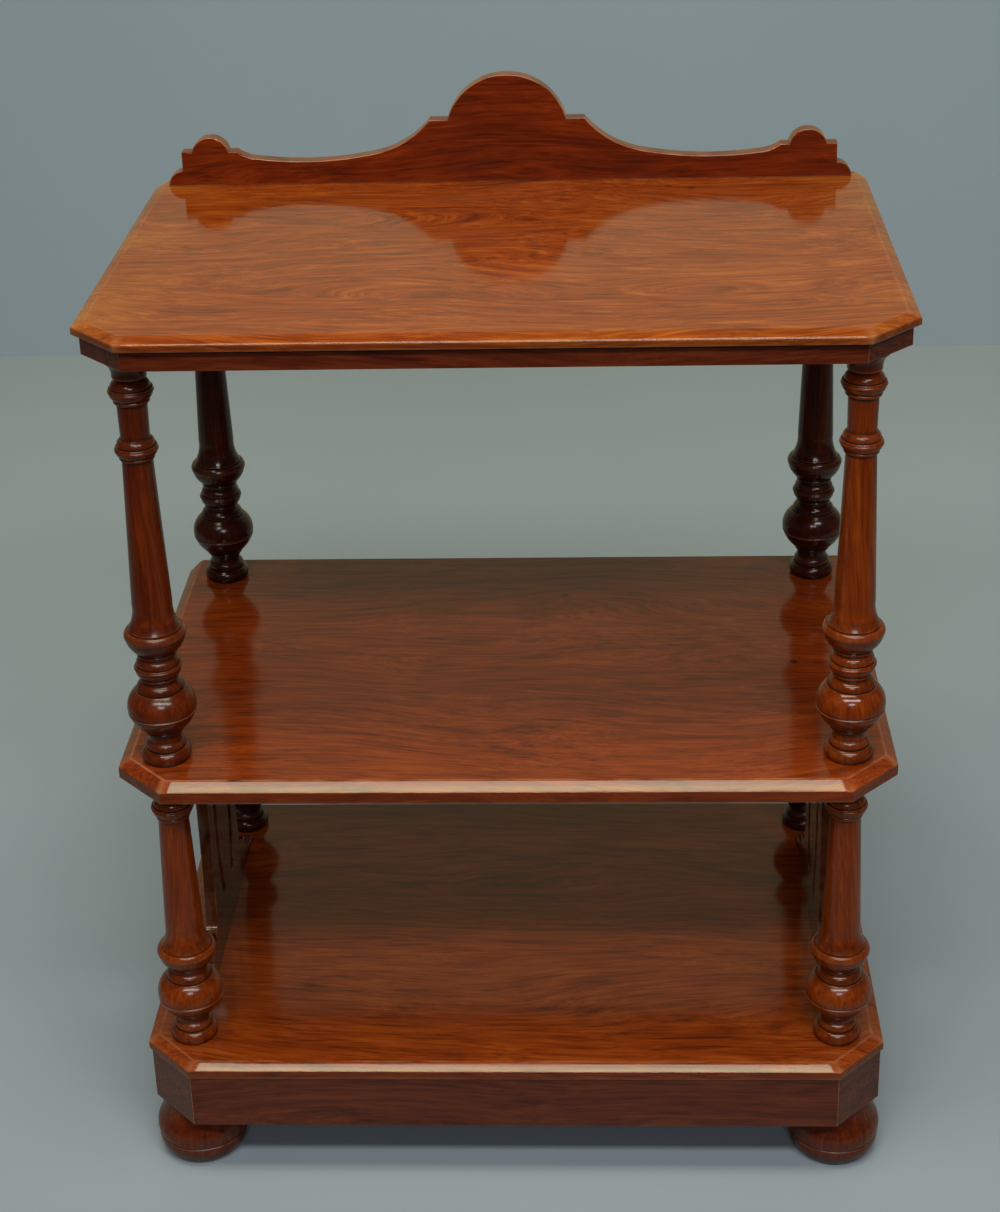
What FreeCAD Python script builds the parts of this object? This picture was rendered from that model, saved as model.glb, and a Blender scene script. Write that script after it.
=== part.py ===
import FreeCAD, Part
import math
import os
import Sketcher

# Etagere: two open shelf spaces between three canted boards, on turned posts, over a plinth with
# bun feet, with a shaped gallery along the back of the top board. Millimetres, +Z up, front at -Y,
# origin on the floor under the middle of the boards.

SIZES = {
    # boards
    "board_width": 800,
    "board_depth": 516,
    "front_cant": 51,
    "rear_cant": 15,
    "side_bevel": 11.5,
    "top_front_bevel": 15,
    "middle_front_bevel": 12.5,
    "bottom_front_bevel": 11.2,
    "top_bevel_rise": 4.6,
    "middle_bevel_rise": 7.8,
    "bottom_bevel_rise": 5.6,
    "bevel_crown": 0.6,
    "top_edge": 7.6,
    "middle_edge": 12.9,
    "bottom_edge": 9.9,
    # heights of the tiers
    "foot_height": 68,
    "plinth_height": 64,
    "lower_tier": 330.8,
    "upper_tier": 447,
    "frieze_height": 21,
    # plinth and frieze
    "plinth_setback": 2.5,
    "frieze_setback": 7,
    "plinth_thickness": 18,
    "frieze_thickness": 14,
    "pin_block_width": 58,
    "pin_block_length": 68,
    # places of the posts and the feet
    "side_post_inset": 50,
    "front_post_inset": 60,
    "back_post_inset": 41,
    # pins
    "pin_radius": 8,
    "pin_depth": 22,
    "head_pin_length": 17,
    "pin_clearance": 0.1,
    "pin_end_clearance": 1,
    # posts, foot of the turning
    "base_radius": 23.5,
    "base_height": 14,
    "base_swell": 3.1,
    "base_head_radius": 21.3,
    "cushion_height": 8,
    "neck_radius": 17.3,
    "neck_hollow": 0.3,
    "lower_neck_height": 7,
    "upper_neck_height": 10,
    "waist_height": 2,
    "line_depth": 1.3,
    "line_width": 2.2,
    # posts, shafts and heads
    "lower_shaft_head": 15.9,
    "upper_shaft_ring": 15.2,
    "upper_shaft_head": 15,
    "ring_drop": 88,
    "throat_height": 2.5,
    "abacus_foot_radius": 17,
    "abacus_foot_height": 2.5,
    "abacus_sweep": 15,
    "abacus_sweep_hollow": 2,
    "abacus_radius": 24.7,
    "abacus_height": 7,
    # bun feet
    "foot_sole_radius": 37.5,
    "foot_sole_swell": 3.6,
    "foot_line_height": 23.9,
    "foot_line_radius": 48.9,
    "foot_belly_height": 18,
    "foot_belly_radius": 47.3,
    "foot_belly_swell": 1.8,
    "foot_top_radius": 37.3,
    "foot_top_hollow": 0.8,
    # end panels
    "panel_thickness": 13.5,
    "panel_inset": 53.5,
    "panel_waist": 85,
    "panel_waist_hollow": 7,
    "panel_spread": 168,
    "panel_toe": 7,
    "panel_step_half": 116,
    "panel_step_height": 40,
    "panel_step_rise": 9,
    "panel_shoulder": 96,
    "panel_cove": 11,
    "panel_sweep": 11,
    "slot_inner": 19,
    "slot_outer": 37,
    "slot_foot": 52,
    "slot_end_swell": 8.5,
    "slot_bow": 14,
    # gallery
    "gallery_thickness": 18,
    "gallery_back_inset": 1.5,
    "gallery_end_inset": 17.5,
    "gallery_end_radius": 16.5,
    "gallery_end_height": 38,
    "gallery_lobe_inset": 28,
    "gallery_lobe_half": 21,
    "gallery_lobe_rise": 16.5,
    "gallery_ramp_inset": 79,
    "gallery_trough_height": 26,
    "gallery_trough_swell": 2.7,
    "gallery_drop_run": 24,
    "gallery_drop_height": 3.4,
    "gallery_drop_swell": 2,
    "gallery_rise_start": 148,
    "gallery_rise_height": 7.6,
    "gallery_rise_swell": 6.2,
    "gallery_step_half": 86,
    "gallery_step_height": 71,
    "crest_half": 66,
    "crest_height": 121,
    # dowels, screws and glue blocks
    "dowel_radius": 3,
    "dowel_clearance": 0.1,
    "dowel_end_clearance": 0.5,
    "gallery_dowel_up": 16,
    "gallery_dowel_down": 7,
    "gallery_dowel_pitch": 165,
    "panel_dowel_depth": 7,
    "panel_dowel_height": 16,
    "panel_dowel_half_spacing": 42,
    "screw_radius": 2.2,
    "screw_head_radius": 4.2,
    "screw_head_height": 3,
    "screw_clearance": 0.2,
    "screw_bite": 7,
    "screw_half_spacing": 150,
    "glue_block_leg": 16,
    "glue_block_length": 60,
    "glue_block_spacing": 220,
}

# The turned members of a post, from its foot to its head. Each is a bead, an underside that opens to the
# nose, an upper side that closes again, and a cap (on the collar, a hollow flare) up to its head.
MEMBER_SIZES = ("bead_radius", "bead_height", "foot_radius", "under_height", "nose_radius", "over_height",
                "over_radius", "cap_height", "head_radius")
MEMBERS = {
    "ball": (19.8, 3, 20.5, 21, 35.1, 22.8, 25.3, 9, 17.4),
    "knop": (19, 3, 19.5, 10, 24.5, 3, 23, 8, 17.5),
    "collar": (19.5, 4, 20, 19.5, 31.5, 6, 28, 26.4, 20.4),
    "ring": (16.8, 3.5, 17.3, 6.5, 21.6, 4, 20, 7, 14.4),
    "necking": (17, 4, 17.8, 8, 22.4, 3.5, 21, 7.4, 13.6),
}
for member_name, numbers in MEMBERS.items():
    for part_name, number in zip(MEMBER_SIZES, numbers):
        SIZES[f"{member_name}_{part_name}"] = number

doc = FreeCAD.newDocument("Etagere")
sheet = doc.addObject("Spreadsheet::Sheet", "Sizes")
for row, (alias, number) in enumerate(SIZES.items(), start=1):
    sheet.set(f"A{row}", str(number))
    sheet.setAlias(f"A{row}", alias)
doc.recompute()


TINY = 1e-12


class Size:
    """A length that follows the sheet: its number now, and the expression that binds it.

    It is kept as a sum of multiples of named lengths, so that what two places share drops out of the
    distance between them."""

    def __init__(self, number, terms=None):
        self.number = float(number)
        self.terms = {"1": self.number} if terms is None else terms

    @property
    def text(self):
        parts = [f"{factor:.12g} * {name}" for name, factor in self.terms.items() if abs(factor) > TINY]
        return " + ".join(parts) or "0"

    @classmethod
    def worked_out(cls, number, text):
        return cls(number, {f"({text})": 1.0})

    def __add__(self, other):
        terms = dict(self.terms)
        for name, factor in other.terms.items():
            terms[name] = terms.get(name, 0.0) + factor
        return Size(self.number + other.number, terms)

    def __sub__(self, other):
        return self + other * -1

    def __neg__(self):
        return self * -1

    def __mul__(self, factor):
        if isinstance(factor, Size):
            return Size.worked_out(self.number * factor.number, f"({self.text}) * ({factor.text})")
        return Size(self.number * factor, {name: share * factor for name, share in self.terms.items()})

    def __truediv__(self, factor):
        if isinstance(factor, Size):
            return Size.worked_out(self.number / factor.number, f"({self.text}) / ({factor.text})")
        return self * (1 / factor)

    def root(self):
        return Size.worked_out(math.sqrt(self.number), f"sqrt({self.text})")


def size(alias):
    return Size(sheet.get(alias), {f"Sizes.{alias}": 1.0})


NOTHING = Size(0)
DIAGONAL = math.sqrt(2)


def crown(radius, run, rise):
    """How far an arc of this radius swells over a chord with this run and rise."""
    return radius - (radius * radius - (run * run + rise * rise) / 4).root()


# Sketches, pads, turnings and bores ------------------------------------------------------------

def new_body(label, x=NOTHING, y=NOTHING, z=NOTHING):
    body = doc.addObject("PartDesign::Body", label)
    body.Label = label
    for axis, place in zip("xyz", (x, y, z)):
        body.setExpression(f"Placement.Base.{axis}", place.text)
    return body


def new_sketch(body, name, plane, height=NOTHING):
    """A sketch on one of the body's own planes, raised along that plane's normal."""
    sketch = body.newObject("Sketcher::SketchObject", f"{body.Label}_{name}")
    support = [f for f in body.Origin.OriginFeatures if f.Role == plane][0]
    sketch.AttachmentSupport = [(support, "")]
    sketch.MapMode = "FlatFace"
    if height is not NOTHING:
        sketch.setExpression("AttachmentOffset.Base.z", height.text)
    return sketch


class Drawing:
    """The lines, arcs and circles of one sketch, and what ties them to the sheet."""

    def __init__(self, sketch):
        self.sketch = sketch
        self.shapes = []
        self.ties = []

    def add(self, shape):
        self.shapes.append(shape)
        return len(self.shapes) - 1

    def tie(self, kind, *points, length=None):
        values = points if length is None else points + (length.number,)
        self.ties.append((Sketcher.Constraint(kind, *values), length))

    def tie_point(self, index, position, u, v):
        self.tie("DistanceX", -1, 1, index, position, length=u)
        self.tie("DistanceY", -1, 1, index, position, length=v)

    def finish(self):
        self.sketch.addGeometry(self.shapes)
        self.sketch.addConstraint([constraint for constraint, _ in self.ties])
        for number, (_, length) in enumerate(self.ties):
            if length is not None:
                self.sketch.setExpression(f"Constraints[{number}]", length.text)

    def outline(self, corners):
        """A closed outline, drawn anticlockwise. Each corner is (u, v) or (u, v, swell): how far the arc that
        ends there stands out of its chord, negative where it is hollow."""
        legs = list(zip([corners[-1]] + corners[:-1], corners))
        drawn = [self.leg(here, there) for here, there in legs]
        for number, (index, _, end) in enumerate(drawn):
            following, start, _ = drawn[(number + 1) % len(drawn)]
            self.tie("Coincident", index, end, following, start)
            self.tie_point(index, end, *corners[number][:2])
        for (index, start, _), (here, there) in zip(drawn, legs):
            if len(there) == 3:
                self.tie_arc(index, start, here, there)

    def leg(self, here, there):
        """A line or an arc, with the numbers that the sketch gives its start and its end."""
        start = FreeCAD.Vector(here[0].number, here[1].number, 0)
        end = FreeCAD.Vector(there[0].number, there[1].number, 0)
        if len(there) == 2:
            return self.add(Part.LineSegment(start, end)), 1, 2
        swell = there[2].number
        chord = end - start
        outward = FreeCAD.Vector(chord.y, -chord.x, 0).normalize()
        radius = (chord.Length ** 2 / 4 + swell ** 2) / (2 * abs(swell))
        centre = (start + end) / 2 - outward * (math.copysign(radius, swell) - swell)
        first, last = (start, end) if swell > 0 else (end, start)
        angles = [math.atan2(point.y - centre.y, point.x - centre.x) for point in (first, last)]
        circle = Part.Circle(centre, FreeCAD.Vector(0, 0, 1), radius)
        index = self.add(Part.ArcOfCircle(circle, *angles))
        return (index, 1, 2) if swell > 0 else (index, 2, 1)

    def tie_arc(self, index, start, here, there):
        """Ties an arc's centre to its start, along the axis that its chord runs across."""
        run, rise, swell = there[0] - here[0], there[1] - here[1], there[2]
        chord = (run * run + rise * rise).root()
        reach = (chord * chord / 4 - swell * swell) / (swell * 2)
        if abs(rise.number) >= abs(run.number):
            self.tie("DistanceX", index, start, index, 3, length=run / 2 - rise * reach / chord)
        else:
            self.tie("DistanceY", index, start, index, 3, length=rise / 2 + run * reach / chord)

    def circle(self, u, v, radius):
        centre = FreeCAD.Vector(u.number, v.number, 0)
        index = self.add(Part.Circle(centre, FreeCAD.Vector(0, 0, 1), radius.number))
        self.tie_point(index, 3, u, v)
        self.tie("Radius", index, length=radius)


def draw_outline(sketch, *outlines):
    drawing = Drawing(sketch)
    for corners in outlines:
        drawing.outline(corners)
    drawing.finish()


def draw_circles(sketch, centres, radius):
    drawing = Drawing(sketch)
    for u, v in centres:
        drawing.circle(u, v, radius)
    drawing.finish()


def pad(body, sketch, length):
    feature = body.newObject("PartDesign::Pad", f"{sketch.Name}_pad")
    feature.Profile = sketch
    feature.setExpression("Length", length.text)
    return feature


def cut(body, sketch, depth, upward=False):
    """A pocket that goes down from its sketch, or up from it, and must take something away."""
    body.recompute(True)
    before = body.Shape.Volume
    feature = body.newObject("PartDesign::Pocket", f"{sketch.Name}_cut")
    feature.Profile = sketch
    feature.Reversed = upward
    feature.setExpression("Length", depth.text)
    body.recompute(True)
    if not body.Shape.Volume < before:
        raise RuntimeError(f"{feature.Name} takes nothing away from {body.Label}")
    return feature


def bore(body, name, centres, radius, depth, level=NOTHING, upward=False):
    sketch = new_sketch(body, name, "XY_Plane", level)
    draw_circles(sketch, centres, radius)
    return cut(body, sketch, depth, upward)


def turned(label, x, y, z, outlines):
    """A body turned about its own Z axis, from outlines of (radius, height) corners, one on another."""
    body = new_body(label, x, y, z)
    for number, corners in enumerate(outlines, start=1):
        sketch = new_sketch(body, f"profile_{number}", "XZ_Plane")
        draw_outline(sketch, corners)
        feature = body.newObject("PartDesign::Revolution", f"{sketch.Name}_turning")
        feature.Profile = sketch
        feature.ReferenceAxis = (sketch, ["V_Axis"])
        feature.Angle = 360
    return body


# Levels and places -----------------------------------------------------------------------------

half_width = size("board_width") / 2
half_depth = size("board_depth") / 2
bottom_board_thickness = size("bottom_edge") + size("bottom_bevel_rise")
middle_board_thickness = size("middle_edge") + size("middle_bevel_rise")
top_board_thickness = size("top_edge") + size("top_bevel_rise")

plinth_level = size("foot_height")
bottom_board_level = plinth_level + size("plinth_height")
lower_post_level = bottom_board_level + bottom_board_thickness
middle_board_level = lower_post_level + size("lower_tier")
upper_post_level = middle_board_level + middle_board_thickness
frieze_level = upper_post_level + size("upper_tier")
top_board_level = frieze_level + size("frieze_height")
gallery_level = top_board_level + top_board_thickness

post_x = half_width - size("side_post_inset")
post_y = {"front": size("front_post_inset") - half_depth, "back": half_depth - size("back_post_inset")}
foot_y = {"front": size("front_post_inset") - half_depth, "back": half_depth - size("front_post_inset")}
pin_bore = size("pin_radius") + size("pin_clearance")
dowel_bore = size("dowel_radius") + size("dowel_clearance")

SIDES = {"left": -1, "right": 1}
ENDS = {"front": -1, "back": 1}
CORNERS = [(end, side) for end in ENDS for side in SIDES]
POST_CENTRES = [(post_x * SIDES[side], post_y[end]) for end, side in CORNERS]

panel_x = half_width - size("panel_inset")
panel_y = (post_y["front"] + post_y["back"]) / 2
panel_dowel_centres = [(panel_x * side, panel_y + size("panel_dowel_half_spacing") * step)
                       for side in SIDES.values() for step in (-1, 1)]


# Boards ------------------------------------------------------------------------------------------

def board_corners(side_inset, front_inset, cant_inset):
    """The board's outline, drawn in by these insets; the back and its small cants stay where they are."""
    x = half_width - side_inset
    front = front_inset - half_depth
    cant = size("front_cant") + cant_inset * DIAGONAL
    cant_x = half_width - cant + front_inset
    cant_y = cant - side_inset - half_depth
    rear_y = half_depth - size("rear_cant") + side_inset
    rear_x = half_width - size("rear_cant")
    return [(-cant_x, front), (cant_x, front), (x, cant_y), (x, rear_y), (rear_x, half_depth),
            (-rear_x, half_depth), (-x, rear_y), (-x, cant_y)]


def board(name, level):
    """A board with an upright edge below a low crowned bevel along the front, the cants and the sides."""
    body = new_body(f"{name}_board", z=level)
    edge, rise = size(f"{name}_edge"), size(f"{name}_bevel_rise")
    outline = new_sketch(body, "edge", "XY_Plane")
    draw_outline(outline, board_corners(NOTHING, NOTHING, NOTHING))
    pad(body, outline, edge)
    front, side = size(f"{name}_front_bevel"), size("side_bevel")
    crown_height = edge + rise / 2 + size("bevel_crown")
    steps = (("foot", 0, edge), ("crown", 0.5, crown_height), ("field", 1, edge + rise))
    sections = []
    for step, share, height in steps:
        section = new_sketch(body, step, "XY_Plane", height)
        draw_outline(section, board_corners(side * share, front * share, side * share))
        sections.append(section)
    bevel = body.newObject("PartDesign::AdditiveLoft", f"{name}_board_bevel")
    bevel.Profile = sections[0]
    bevel.Sections = sections[1:]
    bevel.Ruled = True
    return body


def bottom_board():
    body = board("bottom", bottom_board_level)
    thickness = bottom_board_thickness
    bore(body, "pin_bores", POST_CENTRES, pin_bore, thickness, thickness)
    bore(body, "dowel_bores", panel_dowel_centres, dowel_bore,
         size("panel_dowel_depth") + size("dowel_end_clearance"), thickness)
    return body


def middle_board():
    body = board("middle", middle_board_level)
    bore(body, "pin_bores", POST_CENTRES, pin_bore, middle_board_thickness, middle_board_thickness)
    bore(body, "dowel_bores", panel_dowel_centres, dowel_bore,
         size("panel_dowel_depth") + size("dowel_end_clearance"), upward=True)
    return body


gallery_dowel_x = [size("gallery_dowel_pitch") * step for step in (-2, -1, 0, 1, 2)]
gallery_back_y = half_depth - size("gallery_back_inset")
gallery_middle_y = gallery_back_y - size("gallery_thickness") / 2


def top_board():
    body = board("top", top_board_level)
    bore(body, "dowel_bores", [(x, gallery_middle_y) for x in gallery_dowel_x], dowel_bore,
         size("gallery_dowel_down") + size("dowel_end_clearance"), top_board_thickness)
    screw_centres = [centre for centres in SCREW_CENTRES.values() for centre in centres]
    bore(body, "screw_bores", screw_centres, size("screw_radius"), size("screw_bite"), upward=True)
    return body


# Plinth and frieze: mitred rings with pin blocks inside ------------------------------------------

MITRE = DIAGONAL - 1


def corner_turns(inset, cant):
    """Where a face this far inside the board's edge turns at a corner: on its side, then on its end."""
    leg = size(cant) + inset * MITRE
    return (half_width - inset, half_depth - leg), (half_width - leg, half_depth - inset)


def at_corner(end, side, corners):
    """An outline drawn for the back right corner, at this corner and still anticlockwise."""
    sx, sy = SIDES[side], ENDS[end]
    placed = [(u * sx, v * sy) for u, v in corners]
    return placed if sx * sy > 0 else placed[::-1]


def upright(label, level, corners, height):
    """A piece with upright faces on this plan."""
    body = new_body(label, z=level)
    sketch = new_sketch(body, "plan", "XY_Plane")
    draw_outline(sketch, corners)
    pad(body, sketch, height)
    return body


def mitred_ring(name, level, setback, thickness, height):
    """Rails along the front, the back and the sides and boards across the front cants, mitred together."""
    inner = setback + thickness
    front_outer, front_inner = (corner_turns(inset, "front_cant") for inset in (setback, inner))
    back_outer = corner_turns(setback, "rear_cant")
    chamfer = (size("rear_cant") + setback * DIAGONAL) / 2
    mitre = [(half_width - inset, half_depth - inset) for inset in (chamfer, inner)]
    made = {}
    halves = {"front": [front_inner[1], front_outer[1]], "back": [mitre[1], mitre[0], back_outer[1]]}
    for end, half in halves.items():
        right = at_corner(end, "right", half)
        left = at_corner(end, "left", half)
        made[end] = upright(f"{name}_{end}_rail", level, right + left, height)
    for side in SIDES:
        front = at_corner("front", side, [front_outer[0], front_inner[0]])
        back = at_corner("back", side, [back_outer[0], mitre[0], mitre[1]])
        made[side] = upright(f"{name}_{side}_rail", level, front + back, height)
        cant = at_corner("front", side, [front_outer[0], front_outer[1], front_inner[1], front_inner[0]])
        made[f"{side}_cant"] = upright(f"{name}_cant_{side}", level, cant, height)
    return made


def pin_block(label, level, inset, end, side, height):
    """A block in a corner of a ring, cut across to lie against the cant board at the front."""
    x, y = half_width - inset, half_depth - inset
    far_x, far_y = x - size("pin_block_width"), y - size("pin_block_length")
    outer = corner_turns(inset, "front_cant") if end == "front" else [(x, y)]
    plan = at_corner(end, side, [(x, far_y), *outer, (far_x, y), (far_x, far_y)])
    return upright(label, level, plan, height)


def plinth():
    setback, thickness, height = size("plinth_setback"), size("plinth_thickness"), size("plinth_height")
    made = list(mitred_ring("plinth", plinth_level, setback, thickness, height).values())
    depth = size("pin_depth") + size("pin_end_clearance")
    for end, side in CORNERS:
        x = post_x * SIDES[side]
        block = pin_block(f"plinth_block_{end}_{side}", plinth_level, setback + thickness, end, side, height)
        bore(block, "post_pin_bore", [(x, post_y[end])], pin_bore, depth, height)
        bore(block, "foot_pin_bore", [(x, foot_y[end])], pin_bore, depth, upward=True)
        made.append(block)
    return made


frieze_line_y = half_depth - size("frieze_setback") - size("frieze_thickness") / 2
frieze_line_x = half_width - size("frieze_setback") - size("frieze_thickness") / 2
SCREW_CENTRES = {end: [(size("screw_half_spacing") * step, frieze_line_y * sign) for step in (-1, 1)]
                 for end, sign in ENDS.items()}
SCREW_CENTRES.update({side: [(frieze_line_x * sign, NOTHING)] for side, sign in SIDES.items()})


def frieze():
    setback, thickness, height = size("frieze_setback"), size("frieze_thickness"), size("frieze_height")
    made = mitred_ring("frieze", frieze_level, setback, thickness, height)
    clear = size("screw_radius") + size("screw_clearance")
    sink = size("screw_head_radius") + size("screw_clearance")
    for rail, centres in SCREW_CENTRES.items():
        bore(made[rail], "screw_bores", centres, clear, height, height)
        bore(made[rail], "screw_sinks", centres, sink, size("screw_head_height"), upward=True)
    blocks = []
    for end, side in CORNERS:
        block = pin_block(f"frieze_block_{end}_{side}", frieze_level, setback + thickness, end, side, height)
        bore(block, "pin_bore", [(post_x * SIDES[side], post_y[end])], pin_bore,
             size("head_pin_length") + size("pin_end_clearance"), upward=True)
        blocks.append(block)
    return list(made.values()) + blocks


# Turned posts ------------------------------------------------------------------------------------

# How far each kind of arc stands out of its chord, as a share of its rise.
BEAD_SWELL = 0.25
UNDERSIDE_SWELL = 0.1
UPPER_SIDE_SWELL = 0.15
CAP_SWELL = 0.2
FLARE_SWELL = -0.085


class Profile:
    """The outline of a turned piece, walked from its foot to its head. A long one is parted into several."""

    def __init__(self):
        self.outlines = [[]]
        self.height = NOTHING

    def to(self, radius, rise=None, swell=None):
        """Goes to this radius, this much higher, straight or over an arc."""
        self.height = self.height + rise if rise else self.height
        corner = (radius, self.height)
        self.outlines[-1].append(corner + (swell,) if swell else corner)

    def part(self):
        """Closes the outline here and starts the next on top of it, at the same radius."""
        radius = self.outlines[-1][-1][0]
        self.to(NOTHING)
        self.outlines.append([])
        self.to(NOTHING)
        self.to(radius)

    def line(self, radius):
        """An incised line, cut square to the axis at this radius."""
        half = size("line_width") / 2
        self.to(radius - size("line_depth"), half)
        self.to(radius, half)

    def quirk(self, radius):
        """A narrow groove above a member that ends at this radius; the next starts a little inside it."""
        depth = size("line_depth")
        self.to(radius - depth * 2)
        self.to(radius - depth * 2, size("line_width") / 2)
        self.to(radius - depth)


def pinned_foot(profile, pin_length):
    """The pin below the shoulder that stands on the board, and the shoulder itself."""
    pin = size("pin_radius")
    profile.height = -pin_length
    profile.to(NOTHING)
    profile.to(pin)
    profile.to(pin, pin_length)
    profile.height = NOTHING


def member(profile, name, cap_swell=CAP_SWELL):
    """One turned member: bead, underside, upper side, quirk and cap. The ball has a line on its nose."""
    bead, under, over, cap = (size(f"{name}_{part}_height") for part in ("bead", "under", "over", "cap"))
    profile.to(size(f"{name}_bead_radius"))
    profile.to(size(f"{name}_bead_radius"), bead, bead * BEAD_SWELL)
    profile.to(size(f"{name}_foot_radius"))
    profile.to(size(f"{name}_nose_radius"), under, under * UNDERSIDE_SWELL)
    if name == "ball":
        profile.line(size("ball_nose_radius"))
    profile.to(size(f"{name}_over_radius"), over, over * UPPER_SIDE_SWELL)
    profile.quirk(size(f"{name}_over_radius"))
    profile.to(size(f"{name}_head_radius"), cap, cap * cap_swell)


def base_and_ball(profile, neck_height):
    """The base with its cushion, the neck and the ball."""
    profile.to(size("base_radius"))
    profile.to(size("base_head_radius"), size("base_height"), size("base_swell"))
    profile.quirk(size("base_head_radius"))
    cushion = size("cushion_height")
    profile.to(size("neck_radius"), cushion, cushion * CAP_SWELL)
    profile.to(size("neck_radius"), neck_height, -size("neck_hollow"))
    member(profile, "ball")
    profile.part()


def shaft(profile, radius, top):
    """A straight taper of the shaft up to this height."""
    profile.to(radius, top - profile.height)


def head(profile):
    """The necking, the throat and the abacus below the board or the frieze."""
    member(profile, "necking")
    profile.to(size("necking_head_radius"), size("throat_height"))
    profile.to(size("abacus_foot_radius"))
    profile.to(size("abacus_foot_radius"), size("abacus_foot_height"))
    profile.to(size("abacus_radius"), size("abacus_sweep"), -size("abacus_sweep_hollow"))
    profile.to(size("abacus_radius"), size("abacus_height"))


def total(*parts):
    """The sum of these sizes and of one quirk."""
    height = size("line_width") / 2
    for part in parts:
        height = height + size(part)
    return height


ring_height = total("ring_bead_height", "ring_under_height", "ring_over_height", "ring_cap_height")
head_height = total("necking_bead_height", "necking_under_height", "necking_over_height",
                    "necking_cap_height", "throat_height", "abacus_foot_height", "abacus_sweep",
                    "abacus_height")


def lower_post(label, x, y):
    """Turned in one with the pin that goes through the bottom board; its head takes the upper post's pin."""
    tier = size("lower_tier")
    profile = Profile()
    pinned_foot(profile, bottom_board_thickness + size("pin_depth"))
    base_and_ball(profile, size("lower_neck_height"))
    member(profile, "collar", FLARE_SWELL)
    shaft(profile, size("lower_shaft_head"), tier - head_height)
    head(profile)
    profile.to(pin_bore)
    profile.to(pin_bore, -(size("pin_depth") + size("pin_end_clearance")))
    profile.to(NOTHING)
    return turned(label, x, y, lower_post_level, profile.outlines)


def upper_post(label, x, y):
    """Turned in one with its pins: down through the middle board, up into the frieze's pin block."""
    tier = size("upper_tier")
    profile = Profile()
    pinned_foot(profile, middle_board_thickness + size("pin_depth"))
    base_and_ball(profile, size("upper_neck_height"))
    profile.to(size("ball_head_radius"), size("waist_height"))
    member(profile, "knop")
    profile.to(size("knop_head_radius"), size("waist_height"))
    member(profile, "collar", FLARE_SWELL)
    profile.part()
    shaft(profile, size("upper_shaft_ring"), tier - size("ring_drop") - ring_height)
    member(profile, "ring")
    shaft(profile, size("upper_shaft_head"), tier - head_height)
    head(profile)
    profile.to(size("pin_radius"))
    profile.to(size("pin_radius"), size("head_pin_length"))
    profile.to(NOTHING)
    return turned(label, x, y, upper_post_level, profile.outlines)


def bun_foot(label, x, y):
    """A turned bun with one incised line, and the pin that holds it in the plinth's pin block."""
    profile = Profile()
    line_height = size("foot_line_height")
    line_radius = size("foot_line_radius")
    profile.to(NOTHING)
    profile.to(size("foot_sole_radius"))
    profile.to(line_radius, line_height, size("foot_sole_swell"))
    profile.line(line_radius)
    profile.to(size("foot_belly_radius"), size("foot_belly_height"), size("foot_belly_swell"))
    profile.to(size("foot_top_radius"), size("foot_height") - profile.height, -size("foot_top_hollow"))
    profile.to(size("pin_radius"))
    profile.to(size("pin_radius"), size("pin_depth"))
    profile.to(NOTHING)
    return turned(label, x, y, NOTHING, profile.outlines)


# End panels --------------------------------------------------------------------------------------

QUARTER_SWELL = 1 - math.sqrt(0.5)


def walked_back(corners, reflect):
    """The same corners reflected and walked the other way; an arc moves to the corner it now ends at."""
    count = len(corners)
    return [reflect(*corners[number][:2]) + corners[(number + 1) % count][2:]
            for number in reversed(range(count))]


def mirrored(corners):
    return walked_back(corners, lambda u, v: (-u, v))


def end_panel(label, sign):
    """A pierced upright panel: stepped sweeps at its foot and head, a narrow waist and two tall slots."""
    height, thickness = size("lower_tier"), size("panel_thickness")
    body = new_body(label, panel_x * sign - thickness / 2, panel_y, lower_post_level)
    sketch = new_sketch(body, "outline", "YZ_Plane")
    foot = panel_foot()
    head_half = walked_back(foot, lambda u, v: (u, height - v))
    head_half[0] += (-size("panel_waist_hollow"),)
    draw_outline(sketch, foot + head_half + mirrored(foot + head_half))
    pad(body, sketch, thickness)
    slots = new_sketch(body, "slots", "YZ_Plane", thickness)
    slot = slot_corners(height)
    draw_outline(slots, slot, mirrored(slot))
    cut(body, slots, thickness)
    reach = size("panel_dowel_height") + size("dowel_end_clearance")
    centres = [(thickness / 2, size("panel_dowel_half_spacing") * step) for step in (-1, 1)]
    bore(body, "foot_dowel_bores", centres, dowel_bore, reach, upward=True)
    bore(body, "head_dowel_bores", centres, dowel_bore, reach, height)
    return body


def panel_foot():
    """One side of the panel's foot, from the board up to the waist: toe, sweep, step, shoulder and cove."""
    step, shoulder, cove = size("panel_step_height"), size("panel_shoulder"), size("panel_cove")
    ledge = step + size("panel_step_rise")
    return [(size("panel_spread"), NOTHING),
            (size("panel_spread"), size("panel_toe")),
            (size("panel_step_half"), step, -size("panel_sweep")),
            (shoulder, step),
            (shoulder, ledge),
            (size("panel_waist"), ledge + cove, cove * -QUARTER_SWELL)]


def slot_corners(height):
    """A tall slot with round ends, bowed outward so that the bar between the slots swells."""
    inner, outer, end_swell = size("slot_inner"), size("slot_outer"), size("slot_end_swell")
    end = (outer - inner) / 2
    low, high = size("slot_foot") + end, height - size("slot_foot") - end
    bow = size("slot_bow")
    return [(outer, low, end_swell), (outer, high, bow), (inner, high, end_swell), (inner, low, -bow)]


# Gallery -----------------------------------------------------------------------------------------

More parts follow.
